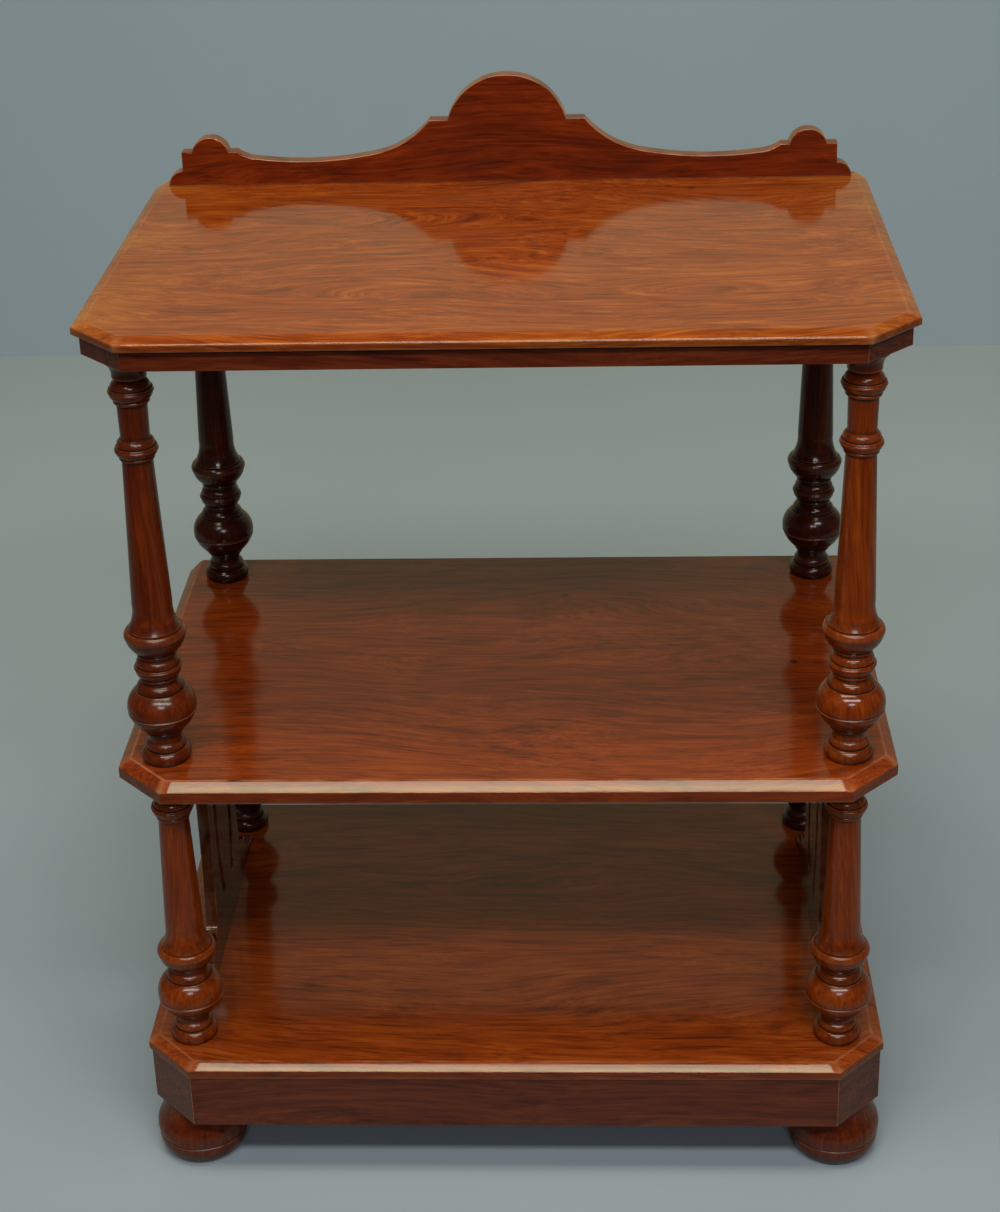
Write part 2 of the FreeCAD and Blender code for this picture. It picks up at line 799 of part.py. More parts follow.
def gallery():
    """The shaped board along the back: quarter-round ends, a lobe each side, long ramps and a round crest."""
    body = new_body("gallery", NOTHING, gallery_back_y, gallery_level)
    sketch = new_sketch(body, "outline", "XZ_Plane")
    right = gallery_half()
    draw_outline(sketch, right + mirrored(right)[1:])
    pad(body, sketch, size("gallery_thickness"))
    centres = [(x, -size("gallery_thickness") / 2) for x in gallery_dowel_x]
    bore(body, "dowel_bores", centres, dowel_bore,
         size("gallery_dowel_up") + size("dowel_end_clearance"), upward=True)
    return body


def gallery_half():
    """The corners of the right half, from the foot of the end to the top of the crest."""
    half = half_width - size("gallery_end_inset")
    end_round = size("gallery_end_radius")
    end_height = size("gallery_end_height")
    lobe = half - size("gallery_lobe_inset")
    ramp = half - size("gallery_ramp_inset")
    lobe_inner = lobe - size("gallery_lobe_half") * 2
    trough_height = size("gallery_trough_height")
    drop_x = ramp - size("gallery_drop_run")
    rise_x = size("gallery_rise_start")
    step = size("gallery_step_height")
    crest_half = size("crest_half")
    crest_rise = size("crest_height") - step
    crest_radius = (crest_half * crest_half + crest_rise * crest_rise) / (crest_rise * 2)
    return [
        (half, NOTHING),
        (half - end_round, end_round, end_round * QUARTER_SWELL),
        (half - end_round, end_height),
        (lobe, end_height),
        (lobe_inner, end_height, size("gallery_lobe_rise")),
        (ramp, end_height),
        (drop_x, trough_height + size("gallery_drop_height"), -size("gallery_drop_swell")),
        (rise_x, trough_height + size("gallery_rise_height"), -(size("gallery_trough_swell") * 2)),
        (size("gallery_step_half"), step, -size("gallery_rise_swell")),
        (crest_half, step),
        (NOTHING, size("crest_height"), crown(crest_radius, crest_half, crest_rise)),
    ]


# Dowels, screws and glue blocks ------------------------------------------------------------------

def place(piece, x, y, z):
    for axis, position in zip("xyz", (x, y, z)):
        piece.setExpression(f"Placement.Base.{axis}", position.text)


def group(label, pieces):
    """Identical fasteners in one node, each its own solid."""
    node = doc.addObject("Part::Compound", label)
    node.Label = label
    node.Links = pieces
    return node


def dowels(label, places, length):
    pins = []
    for number, (x, y, z) in enumerate(places, start=1):
        pin = doc.addObject("Part::Cylinder", f"{label}_{number}")
        pin.setExpression("Radius", size("dowel_radius").text)
        pin.setExpression("Height", length.text)
        place(pin, x, y, z)
        pins.append(pin)
    return group(label, pins)


def all_dowels():
    down, up = size("gallery_dowel_down"), size("gallery_dowel_up")
    gallery_places = [(x, gallery_middle_y, gallery_level - down) for x in gallery_dowel_x]
    depth, reach = size("panel_dowel_depth"), size("panel_dowel_height")
    foot = [(x, y, lower_post_level - depth) for x, y in panel_dowel_centres]
    top = [(x, y, middle_board_level - reach) for x, y in panel_dowel_centres]
    return [dowels("gallery_dowels", gallery_places, down + up),
            dowels("end_panel_dowels", foot + top, depth + reach)]


def frieze_screws():
    """Countersunk screws that come up through the frieze rails into the top board."""
    screws = []
    for x, y in (centre for centres in SCREW_CENTRES.values() for centre in centres):
        number = len(screws) + 1
        cone = doc.addObject("Part::Cone", f"screw_head_{number}")
        cone.setExpression("Radius1", size("screw_head_radius").text)
        cone.setExpression("Radius2", size("screw_radius").text)
        cone.setExpression("Height", size("screw_head_height").text)
        shank = doc.addObject("Part::Cylinder", f"screw_shank_{number}")
        shank.setExpression("Radius", size("screw_radius").text)
        shank.setExpression("Height", (size("frieze_height") + size("screw_bite")).text)
        for piece in (cone, shank):
            place(piece, x, y, frieze_level)
        screw = doc.addObject("Part::Fuse", f"screw_{number}")
        screw.Base = cone
        screw.Tool = shank
        screws.append(screw)
    return group("frieze_screws", screws)


def glue_blocks(label, under, setback, thickness):
    """Three-cornered blocks glued behind the front and back rails, up against the board above them."""
    leg, length = size("glue_block_leg"), size("glue_block_length")
    inner = half_depth - setback - thickness
    blocks = []
    for sign in (-1, 1):
        for step in (-1, 1):
            block = doc.addObject("Part::Wedge", f"{label}_{len(blocks) + 1}")
            block.Xmin, block.Ymin, block.Zmin, block.X2min = 0, 0, 0, 0
            for name, reach in (("Xmax", length), ("X2max", length), ("Ymax", leg), ("Zmax", leg),
                                ("Z2min", leg), ("Z2max", leg)):
                block.setExpression(name, reach.text)
            middle = size("glue_block_spacing") * step
            block.Placement.Rotation = FreeCAD.Rotation(FreeCAD.Vector(0, 0, 1), 0 if sign < 0 else 180)
            place(block, middle + length / 2 * sign, inner * sign, under - leg)
            blocks.append(block)
    return group(label, blocks)


# The whole etagere -------------------------------------------------------------------------------

nodes = [bottom_board(), middle_board(), top_board(), gallery()]
nodes += plinth() + frieze()
for end, side in CORNERS:
    x = post_x * SIDES[side]
    nodes.append(bun_foot(f"bun_foot_{end}_{side}", x, foot_y[end]))
    nodes.append(lower_post(f"lower_post_{end}_{side}", x, post_y[end]))
    nodes.append(upper_post(f"upper_post_{end}_{side}", x, post_y[end]))
for side, sign in SIDES.items():
    nodes.append(end_panel(f"end_panel_{side}", sign))
nodes += all_dowels()
nodes.append(frieze_screws())
nodes.append(glue_blocks("plinth_glue_blocks", bottom_board_level, size("plinth_setback"),
                         size("plinth_thickness")))
nodes.append(glue_blocks("frieze_glue_blocks", top_board_level, size("frieze_setback"),
                         size("frieze_thickness")))

doc.recompute()
for thing in doc.Objects:
    if "Invalid" in thing.State or "Error" in thing.State:
        raise RuntimeError(f"{thing.Name} did not compute: {thing.State}")
os.makedirs("parts", exist_ok=True)
for node in nodes:
    if node.Shape.isNull() or not node.Shape.isValid():
        raise RuntimeError(f"{node.Label} has no valid shape")
    node.Shape.exportStep(f"parts/{node.Label}.step")
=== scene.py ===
import math
from collections import namedtuple

import bmesh
import bpy
from mathutils import Matrix, Vector, noise


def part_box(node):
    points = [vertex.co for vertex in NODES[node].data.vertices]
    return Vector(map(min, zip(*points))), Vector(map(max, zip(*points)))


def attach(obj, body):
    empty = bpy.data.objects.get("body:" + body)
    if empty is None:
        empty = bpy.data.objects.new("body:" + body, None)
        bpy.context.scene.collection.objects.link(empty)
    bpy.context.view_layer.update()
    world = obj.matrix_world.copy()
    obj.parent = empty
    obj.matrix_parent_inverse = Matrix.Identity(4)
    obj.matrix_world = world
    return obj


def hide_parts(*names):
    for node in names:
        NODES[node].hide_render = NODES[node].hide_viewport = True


# The looks of a mahogany etagere: three canted boards on turned posts over a plinth with bun feet, with a
# shaped gallery. The object's lengths are millimetres in the frame's own axes, turned into metres by MM;
# the materials, the room and the lamps are measured in metres.

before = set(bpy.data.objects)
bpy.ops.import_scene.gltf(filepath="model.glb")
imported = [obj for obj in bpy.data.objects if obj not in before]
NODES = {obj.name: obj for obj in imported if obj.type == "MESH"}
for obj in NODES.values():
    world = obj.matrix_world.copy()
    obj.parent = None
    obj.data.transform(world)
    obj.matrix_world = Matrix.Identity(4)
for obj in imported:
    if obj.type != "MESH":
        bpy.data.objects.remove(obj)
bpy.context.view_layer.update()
MM = 0.001
SIDES = ("left", "right")
ENDS = ("front", "back")


# Outlines ----------------------------------------------------------------------------------------

ARC_TURN = 0.16
OUTLINE_STEP = 1.5


def arc(start, end, swell, step):
    """Points from start to end over an arc that stands swell out of its chord, to the right of the way
    walked; the start itself is left out."""
    a, b = Vector(start), Vector(end)
    chord = b - a
    if not swell:
        return [tuple(b)]
    outward = Vector((chord.y, -chord.x)).normalized()
    radius = (chord.length ** 2 / 4 + swell ** 2) / (2 * abs(swell))
    centre = (a + b) / 2 - outward * (math.copysign(radius, swell) - swell)
    first = math.atan2(a.y - centre.y, a.x - centre.x)
    turn = math.atan2(b.y - centre.y, b.x - centre.x) - first
    if swell > 0 and turn < 0:
        turn += 2 * math.pi
    if swell < 0 and turn > 0:
        turn -= 2 * math.pi
    count = max(3, round(abs(turn) * radius / step), round(abs(turn) / ARC_TURN))
    points = []
    for number in range(1, count + 1):
        angle = first + turn * number / count
        points.append((centre.x + radius * math.cos(angle), centre.y + radius * math.sin(angle)))
    return points


def closed_outline(corners):
    """The points of a closed outline whose corners are (u, v) or (u, v, swell of the arc that ends
    there)."""
    points = []
    for here, there in zip([corners[-1]] + corners[:-1], corners):
        points += arc(here[:2], there[:2], there[2] if len(there) == 3 else 0, OUTLINE_STEP)
    return points


def walked_back(corners, reflect):
    """The same corners reflected and walked the other way; an arc moves to the corner it now ends at."""
    count = len(corners)
    return [reflect(*corners[n][:2]) + corners[(n + 1) % count][2:] for n in reversed(range(count))]


def mirrored(corners):
    return walked_back(corners, lambda u, v: (-u, v))


# Meshes ------------------------------------------------------------------------------------------

SMOOTH_ANGLE = math.radians(38)
ROUNDED_ANGLE = math.radians(30)
EASING_STEPS = 3
WELD = 0.01 * MM
FLATNESS = 0.05


def link(name, mesh):
    piece = bpy.data.objects.new(name, mesh)
    bpy.context.scene.collection.objects.link(piece)
    return piece


def evaluated(piece):
    """A mesh of the piece with its modifiers, or its curve's bevel, worked in."""
    graph = bpy.context.evaluated_depsgraph_get()
    return bpy.data.meshes.new_from_object(piece.evaluated_get(graph), depsgraph=graph)


def applied(piece):
    mesh = evaluated(piece)
    piece.modifiers.clear()
    piece.data = mesh


def smoothed(piece, easing=0.0):
    """Rounds the sharp edges if asked, and shades the piece so that its flats stay flat."""
    if easing:
        bevel = piece.modifiers.new("rounding", "BEVEL")
        bevel.width = easing * MM
        bevel.segments = EASING_STEPS
        bevel.limit_method = "ANGLE"
        bevel.angle_limit = ROUNDED_ANGLE
        bevel.use_clamp_overlap = True
        applied(piece)
    piece.data.polygons.foreach_set("use_smooth", [True] * len(piece.data.polygons))
    piece.data.set_sharp_from_angle(angle=SMOOTH_ANGLE)
    weighted = piece.modifiers.new("normals", "WEIGHTED_NORMAL")
    weighted.keep_sharp = True
    applied(piece)
    mark_edges(piece.data)
    return piece


NARROW_FACE = 4.5 * MM
WORN_FROM = 0.12
HOLLOW_FROM = 0.08
MARKED_TURN = 0.4


def add_layer(mesh, name, values):
    """Gives each point of the mesh a value that the materials read by name."""
    mesh.attributes.new(name, "FLOAT", "POINT").data.foreach_set("value", values)


def mark_edges(mesh):
    """Writes how far each point stands out or lies in: "worn" on outer edges, "hollow" in inner corners.
    The edges of broad faces carry neither, or it would spread over the whole face."""
    work = bmesh.new()
    work.from_mesh(mesh)
    worn, hollow = [], []
    for point in work.verts:
        outer = inner = 0.0
        broad = any(face.calc_area() / max(edge.calc_length() for edge in face.edges) > NARROW_FACE
                    for face in point.link_faces)
        if not broad:
            for edge in point.link_edges:
                if len(edge.link_faces) == 2:
                    turn = edge.calc_face_angle_signed(0.0)
                    outer = max(outer, turn)
                    inner = max(inner, -turn)
        worn.append(min(1.0, max(0.0, outer - WORN_FROM) / MARKED_TURN))
        hollow.append(min(1.0, max(0.0, inner - HOLLOW_FROM) / MARKED_TURN))
    work.free()
    add_layer(mesh, "worn", worn)
    add_layer(mesh, "hollow", hollow)


def dressed(piece, slot, material, *nodes):
    piece.data.materials.clear()
    piece.data.materials.append(material)
    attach(piece, "root")
    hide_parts(*nodes)
    return piece


def skinned(name, work, rings):
    """A mesh whose skin joins rings of points in turn and closes the first and the last."""
    for lower, upper in zip(rings, rings[1:]):
        for n in range(len(lower)):
            following = (n + 1) % len(lower)
            work.faces.new((lower[n], lower[following], upper[following], upper[n]))
    work.faces.new(rings[0][::-1])
    work.faces.new(rings[-1])
    mesh = bpy.data.meshes.new(name)
    work.to_mesh(mesh)
    work.free()
    return mesh


def filled_curve(name, outlines, thickness, rounding):
    """The mesh of a filled curve, centred on its own XY plane, with its edges rounded."""
    curve = bpy.data.curves.new(name, "CURVE")
    curve.dimensions = "2D"
    curve.fill_mode = "BOTH"
    curve.extrude = (thickness / 2 - rounding) * MM
    curve.bevel_depth = rounding * MM
    curve.bevel_resolution = 2
    curve.offset = -rounding * MM
    for outline in outlines:
        spline = curve.splines.new("POLY")
        spline.points.add(len(outline) - 1)
        for point, (u, v) in zip(spline.points, outline):
            point.co = (u * MM, v * MM, 0.0, 1.0)
        spline.use_cyclic_u = True
    shaped = link(name + "_curve", curve)
    mesh = evaluated(shaped)
    bpy.data.objects.remove(shaped)
    bpy.data.curves.remove(curve)
    return mesh


def plate(name, outlines, thickness, rounding, place):
    """A flat board cut to closed outlines, the first its edge and any others holes, with rounded edges
    that wear while its two faces don't."""
    mesh = filled_curve(name, outlines, thickness, rounding)
    mesh.transform(place)
    work = bmesh.new()
    work.from_mesh(mesh)
    bmesh.ops.remove_doubles(work, verts=work.verts, dist=WELD)
    bmesh.ops.recalc_face_normals(work, faces=work.faces)
    work.to_mesh(mesh)
    work.free()
    piece = smoothed(link(name, mesh))
    across, middle = place.to_3x3() @ Vector((0, 0, 1)), place.translation
    for number, point in enumerate(piece.data.vertices):
        if abs((point.co - middle).dot(across)) > (thickness / 2 - FLATNESS) * MM:
            for layer in ("worn", "hollow"):
                piece.data.attributes[layer].data[number].value = 0.0
    return piece


# Boards ------------------------------------------------------------------------------------------

HALF_WIDTH = 400.0
HALF_DEPTH = 258.0
FRONT_CANT = 51.0
REAR_CANT = 15.0
SIDE_BEVEL = 11.5
# inset, height and wear of the rings round the lower arris
LOWER_ARRIS = ((1.4, 0.0, 0.0), (0.35, 0.25, 0.1), (0.0, 1.1, 0.2), (0.0, 2.4, 0.0))
UPPER_ARRIS_MARGIN = 1.2
UPPER_ARRIS_WEAR = 0.1
TOP_FACE_INSET = 3.0
BOARD_STEP = 9.0
ARRIS_STEPS = 5
BEVEL_STEPS = 10
# painted shade on the board's upright edge
EDGE_PAINTED_SHADE = 0.36
# spread over the board, spread over the height and share of each noise in the wear
WEAR_NOISE = ((0.035, 0.2, 1.0), (0.15, 1.0, 0.5))


def board_corners(side, front, cant):
    """The board's outline with its sides, front and front cants moved in; the rear stays."""
    x = HALF_WIDTH - side
    y = front - HALF_DEPTH
    leg = FRONT_CANT + cant * math.sqrt(2)
    cant_x = HALF_WIDTH - leg + front
    cant_y = leg - side - HALF_DEPTH
    rear_y = HALF_DEPTH - REAR_CANT + side
    rear_x = HALF_WIDTH - REAR_CANT
    return [(-cant_x, y), (cant_x, y), (x, cant_y), (x, rear_y), (rear_x, HALF_DEPTH),
            (-rear_x, HALF_DEPTH), (-x, rear_y), (-x, cant_y)]


def rub(point, height, wear):
    """How far the edge is worn in at a point."""
    depth = 0.0
    for spread, climb, share in WEAR_NOISE:
        place = Vector((point.x * spread, point.y * spread, height * climb))
        depth += max(0.0, noise.noise(place)) * wear * share
    return depth


def board_ring(work, corners, counts, height, wear):
    """One ring of points round the board, each side divided, rubbed in a little where the edge is worn."""
    ring = []
    for (start, end), count in zip(zip(corners, corners[1:] + corners[:1]), counts):
        a, b = Vector(start), Vector(end)
        inward = Vector((a.y - b.y, b.x - a.x)).normalized()
        for number in range(count):
            point = a + (b - a) * number / count
            point += inward * (rub(point, height, wear) if wear and number else 0.0)
            ring.append(work.verts.new(Vector((point.x, point.y, height)) * MM))
    return ring


def board_section(edge, rise, front_bevel, crown, arris):
    """The rings that make the board's upright edge, its worn arrises and the low bevel, each as its inset,
    its share of the bevel's run, its height and its wear."""
    turn = math.pi / 2 - math.atan2(rise + 4 * crown, front_bevel)
    reach = arris * math.tan(turn / 2)
    rings = [(inset, 0, height, wear) for inset, height, wear in LOWER_ARRIS]
    rings.append((0.0, 0, edge - reach - UPPER_ARRIS_MARGIN, 0))
    for number in range(ARRIS_STEPS + 1):
        angle = turn * number / ARRIS_STEPS
        height = edge - reach + arris * math.sin(angle)
        rings.append((arris * (1 - math.cos(angle)), 0, height, UPPER_ARRIS_WEAR))
    start = rings[-1][0]
    for number in range(1, BEVEL_STEPS):
        share = number / BEVEL_STEPS
        climb = share + start / front_bevel * (1 - share)
        height = edge + rise * climb + crown * 4 * share * (1 - share)
        rings.append((start * (1 - share), share, height, 0))
    return rings + [(0.0, 1, edge + rise, 0), (TOP_FACE_INSET, 1, edge + rise, 0)]


def board(node, material, edge, rise, front_bevel, crown, arris):
    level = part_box(node)[0].z / MM
    base = board_corners(0, 0, 0)
    counts = [max(1, round((Vector(b) - Vector(a)).length / BOARD_STEP))
              for a, b in zip(base, base[1:] + base[:1])]
    section = board_section(edge, rise, front_bevel, crown, arris)
    work = bmesh.new()
    rings = []
    for inset, share, height, wear in section:
        side = SIDE_BEVEL * share
        corners = board_corners(side + inset, front_bevel * share + inset, side + inset)
        rings.append(board_ring(work, corners, counts, level + height, wear))
    mesh = skinned(node + "_piece", work, rings)
    # painted shade on the rings below the arris: the board's upright edge
    grime_and_painted_shade = [EDGE_PAINTED_SHADE if height < edge else 0.0 for inset, share, height, wear in section]
    add_layer(mesh, "painted_shade", [depth for depth in grime_and_painted_shade for n in range(sum(counts))])
    piece = smoothed(link(node + "_piece", mesh))
    return dressed(piece, "polished_board", material, node)


# Turned pieces -----------------------------------------------------------------------------------

TURN_SEGMENTS = 112
PROFILE_STEP = 1.0
LINE_DEPTH = 1.3
LINE_WIDTH = 2.2


class Profile:
    """The outline of a turned piece, walked from its foot to its head."""

    def __init__(self, radius):
        self.points = [(radius, 0.0)]

    @property
    def height(self):
        return self.points[-1][1]

    def to(self, radius, rise=0.0, swell=0.0):
        start = self.points[-1]
        self.points += arc(start, (radius, start[1] + rise), swell, PROFILE_STEP)

    def line(self, radius):
        self.to(radius - LINE_DEPTH, LINE_WIDTH / 2)
        self.to(radius, LINE_WIDTH / 2)

    def quirk(self, radius):
        self.to(radius - LINE_DEPTH * 2)
        self.to(radius - LINE_DEPTH * 2, LINE_WIDTH / 2)
        self.to(radius - LINE_DEPTH)


SHARP_CORNER = math.radians(22)
CORNER_ROUNDING = 0.55
CORNER_SHARE = 0.42
NO_LENGTH = 1e-6


def rounded(points):
    """The outline with each sharp corner cut to a small arc."""
    soft = [points[0]]
    for before, here, after in zip(points, points[1:], points[2:]):
        a, b, c = Vector(before), Vector(here), Vector(after)
        come, go = b - a, c - b
        if come.length < NO_LENGTH or go.length < NO_LENGTH:
            continue
        if come.angle(go) < SHARP_CORNER:
            soft.append(here)
            continue
        reach = min(CORNER_ROUNDING, come.length * CORNER_SHARE, go.length * CORNER_SHARE)
        first, last = b - come.normalized() * reach, b + go.normalized() * reach
        soft += [tuple(first), tuple(first * 0.25 + b * 0.5 + last * 0.25), tuple(last)]
    soft.append(points[-1])
    return soft


DIVISION = 3.0
DIVIDED_REACH = 12.0
LEAST_DIVISION = 0.5


def divided(points):
    """The outline with more points near both ends of its long straight runs, so that what is worked out for
    each point stays near its own place."""
    close = [points[0]]
    for start, end in zip(points, points[1:]):
        run = math.dist(start, end)
        if run > DIVISION * 2:
            count = int(min(DIVIDED_REACH, run / 2) / DIVISION)
            steps = [DIVISION * n for n in range(1, count + 1)]
            places = sorted(set(steps + [run - step for step in steps]))
            close += [tuple(Vector(start).lerp(Vector(end), place / run)) for place in places
                      if place < run - LEAST_DIVISION]
        close.append(end)
    return close


# where turned pieces get painted shade: in recesses, on undersides and near the foot
RECESS_REACH = 11.0
RECESS_SLOPE = 0.45
RECESS_DEPTH = 7.0
UNDERSIDE_SHARE = 0.75
FOOT_REACH = 15.0
FOOT_SHARE = 0.55


def painted_shade_depths(points):
    """How much painted shade each point of the outline gets, up to 1: it lies back behind what stands out
    above and below it, faces down, or is near the foot."""
    depths = []
    for n, (radius, height) in enumerate(points):
        near = [(r, abs(h - height)) for r, h in points if abs(h - height) < RECESS_REACH]
        front = max(r - away * RECESS_SLOPE for r, away in near)
        before, after = points[max(0, n - 1)], points[min(len(points) - 1, n + 1)]
        run = math.dist(before, after)
        under = max(0.0, after[0] - before[0]) / run if run else 0.0
        foot = max(0.0, 1 - height / FOOT_REACH)
        depth = max((front - radius) / RECESS_DEPTH, under * UNDERSIDE_SHARE) + foot * FOOT_SHARE
        depths.append(min(1.0, depth))
    return depths


def turned(node, x, y, z, profile, material):
    name = node + "_piece"
    work = bmesh.new()
    rings = []
    outline = divided(rounded(profile.points))
    for radius, height in outline:
        ring = []
        for number in range(TURN_SEGMENTS):
            angle = 2 * math.pi * number / TURN_SEGMENTS
            place = Vector((x + radius * math.cos(angle), y + radius * math.sin(angle), z + height))
            ring.append(work.verts.new(place * MM))
        rings.append(ring)
    mesh = skinned(name, work, rings)
    add_layer(mesh, "painted_shade", [depth for depth in painted_shade_depths(outline) for n in range(TURN_SEGMENTS)])
    return dressed(smoothed(link(name, mesh)), "turned_wood", material, node)


# heights of the bead, the underside, the upper side and the cap, and the radii where they begin and end
Member = namedtuple("Member", "bead_radius bead foot under nose over shoulder cap head_radius")
MEMBERS = {
    "ball": Member(19.8, 3, 20.5, 21, 35.1, 22.8, 25.3, 9, 17.4),
    "knop": Member(19, 3, 19.5, 10, 24.5, 3, 23, 8, 17.5),
    "collar": Member(19.5, 4, 20, 19.5, 31.5, 6, 28, 26.4, 20.4),
    "ring": Member(16.8, 3.5, 17.3, 6.5, 21.6, 4, 20, 7, 14.4),
    "necking": Member(17, 4, 17.8, 8, 22.4, 3.5, 21, 7.4, 13.6),
}
BEAD_SWELL = 0.25
UNDERSIDE_SWELL = 0.1
UPPER_SIDE_SWELL = 0.15
CAP_SWELL = 0.2
FLARE_SWELL = -0.085
NOSE_ROUND = 0.9


def add_member(p, name, cap_swell=CAP_SWELL):
    """A bead, then the member's underside, nose and upper side, a quirk and its cap."""
    m = MEMBERS[name]
    p.to(m.bead_radius)
    p.to(m.bead_radius, m.bead, m.bead * BEAD_SWELL)
    p.to(m.foot)
    if name == "ball":
        p.to(m.nose, m.under, m.under * UNDERSIDE_SWELL)
        p.line(m.nose)
        p.to(m.shoulder, m.over, m.over * UPPER_SIDE_SWELL)
    else:
        ease = m.over / 2
        p.to(m.nose - NOSE_ROUND, m.under - ease, m.under * UNDERSIDE_SWELL)
        p.to(m.nose - NOSE_ROUND, ease * 2, NOSE_ROUND)
        p.to(m.shoulder, m.over - ease, (m.over - ease) * UPPER_SIDE_SWELL)
    p.quirk(m.shoulder)
    p.to(m.head_radius, m.cap, m.cap * cap_swell)


BASE_RADIUS = 23.5
BASE_HEAD_RADIUS = 21.3
BASE_HEIGHT = 14
BASE_SWELL = 3.1
CUSHION_HEIGHT = 8
CUSHION_SWELL = 1.6
NECK_RADIUS = 17.3
NECK_HOLLOW = 0.3
LOWER_NECK_HEIGHT = 7
UPPER_NECK_HEIGHT = 10


def base_and_ball(neck_height):
    p = Profile(BASE_RADIUS)
    p.to(BASE_HEAD_RADIUS, BASE_HEIGHT, BASE_SWELL)
    p.quirk(BASE_HEAD_RADIUS)
    p.to(NECK_RADIUS, CUSHION_HEIGHT, CUSHION_SWELL)
    p.to(NECK_RADIUS, neck_height, -NECK_HOLLOW)
    add_member(p, "ball")
    return p


THROAT_HEIGHT = 2.5
ABACUS_FOOT_RADIUS = 17
ABACUS_FOOT_HEIGHT = 2.5
ABACUS_RADIUS = 24.7
ABACUS_SWEEP = 15
ABACUS_HOLLOW = 2
ABACUS_HEIGHT = 7


def add_head(p):
    """The necking member and, over it, the sweep out to the disc under the board."""
    add_member(p, "necking")
    p.to(MEMBERS["necking"].head_radius, THROAT_HEIGHT)
    p.to(ABACUS_FOOT_RADIUS)
    p.to(ABACUS_FOOT_RADIUS, ABACUS_FOOT_HEIGHT)
    p.to(ABACUS_RADIUS, ABACUS_SWEEP, -ABACUS_HOLLOW)
    p.to(ABACUS_RADIUS, ABACUS_HEIGHT)


LOWER_TIER = 330.8
UPPER_TIER = 447.0
HEAD_HEIGHT = 51.0
RING_FOOT = 336.9
WAIST_HEIGHT = 2
LOWER_SHAFT_HEAD = 15.9
UPPER_SHAFT_HEAD = 15
UPPER_SHAFT_RING = 15.2


def lower_post():
    p = base_and_ball(LOWER_NECK_HEIGHT)
    add_member(p, "collar", FLARE_SWELL)
    p.to(LOWER_SHAFT_HEAD, LOWER_TIER - HEAD_HEIGHT - p.height)
    add_head(p)
    return p


def upper_post():
    p = base_and_ball(UPPER_NECK_HEIGHT)
    p.to(MEMBERS["ball"].head_radius, WAIST_HEIGHT)
    add_member(p, "knop")
    p.to(MEMBERS["knop"].head_radius, WAIST_HEIGHT)
    add_member(p, "collar", FLARE_SWELL)
    p.to(UPPER_SHAFT_RING, RING_FOOT - p.height)
    add_member(p, "ring")
    p.to(UPPER_SHAFT_HEAD, UPPER_TIER - HEAD_HEIGHT - p.height)
    add_head(p)
    return p


FOOT_HEIGHT = 68
FOOT_SOLE_RADIUS = 37.5
FOOT_SOLE_SWELL = 3.6
FOOT_LINE_RADIUS = 48.9
FOOT_LINE_HEIGHT = 23.9
FOOT_BELLY_RADIUS = 47.3
FOOT_BELLY_HEIGHT = 18
FOOT_BELLY_SWELL = 1.8
FOOT_TOP_RADIUS = 37.3
FOOT_TOP_HOLLOW = 0.8


def bun_foot():
    p = Profile(FOOT_SOLE_RADIUS)
    p.to(FOOT_LINE_RADIUS, FOOT_LINE_HEIGHT, FOOT_SOLE_SWELL)
    p.line(FOOT_LINE_RADIUS)
    p.to(FOOT_BELLY_RADIUS, FOOT_BELLY_HEIGHT, FOOT_BELLY_SWELL)
    p.to(FOOT_TOP_RADIUS, FOOT_HEIGHT - p.height, -FOOT_TOP_HOLLOW)
    return p


# End panels and gallery --------------------------------------------------------------------------

PANEL_THICKNESS = 13.5
PANEL_ROUNDING = 0.9
PANEL_SPREAD = 168
PANEL_TOE = 7
PANEL_STEP_HALF = 116
PANEL_STEP_HEIGHT = 40
PANEL_SWEEP = 11
PANEL_SHOULDER = 96
PANEL_STEP_RISE = 9
PANEL_COVE = 11
PANEL_WAIST_HOLLOW = 7
SLOT_INNER = 19
SLOT_OUTER = 37
SLOT_FOOT = 61
SLOT_END_SWELL = 8.5
SLOT_BOW = 14
# how far a quarter circle stands out of its chord, as a share of its radius
QUARTER_SWELL = 1 - math.sqrt(0.5)


def panel_outlines():
    """The cusped edge of an end panel, whose head mirrors its foot, and its two bowed slots."""
    ledge = PANEL_STEP_HEIGHT + PANEL_STEP_RISE
    foot = [
        (PANEL_SPREAD, 0),
        (PANEL_SPREAD, PANEL_TOE),
        (PANEL_STEP_HALF, PANEL_STEP_HEIGHT, -PANEL_SWEEP),
        (PANEL_SHOULDER, PANEL_STEP_HEIGHT),
        (PANEL_SHOULDER, ledge),
        (PANEL_SHOULDER - PANEL_COVE, ledge + PANEL_COVE, -PANEL_COVE * QUARTER_SWELL),
    ]
    head = walked_back(foot, lambda u, v: (u, LOWER_TIER - v))
    head[0] += (-PANEL_WAIST_HOLLOW,)
    right = foot + head
    slot = [
        (SLOT_OUTER, SLOT_FOOT, SLOT_END_SWELL),
        (SLOT_OUTER, LOWER_TIER - SLOT_FOOT, SLOT_BOW),
        (SLOT_INNER, LOWER_TIER - SLOT_FOOT, SLOT_END_SWELL),
        (SLOT_INNER, SLOT_FOOT, -SLOT_BOW),
    ]
    return [closed_outline(corners) for corners in (right + mirrored(right), slot, mirrored(slot))]


def end_panel(side, material):
    node = f"end_panel_{side}"
    low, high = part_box(node)
    middle = (low + high) / 2
    place = Matrix(((0, 0, 1, middle.x), (1, 0, 0, middle.y), (0, 1, 0, low.z), (0, 0, 0, 1)))
    piece = plate(node + "_piece", panel_outlines(), PANEL_THICKNESS, PANEL_ROUNDING, place)
    return dressed(piece, "panel_wood", material, node)


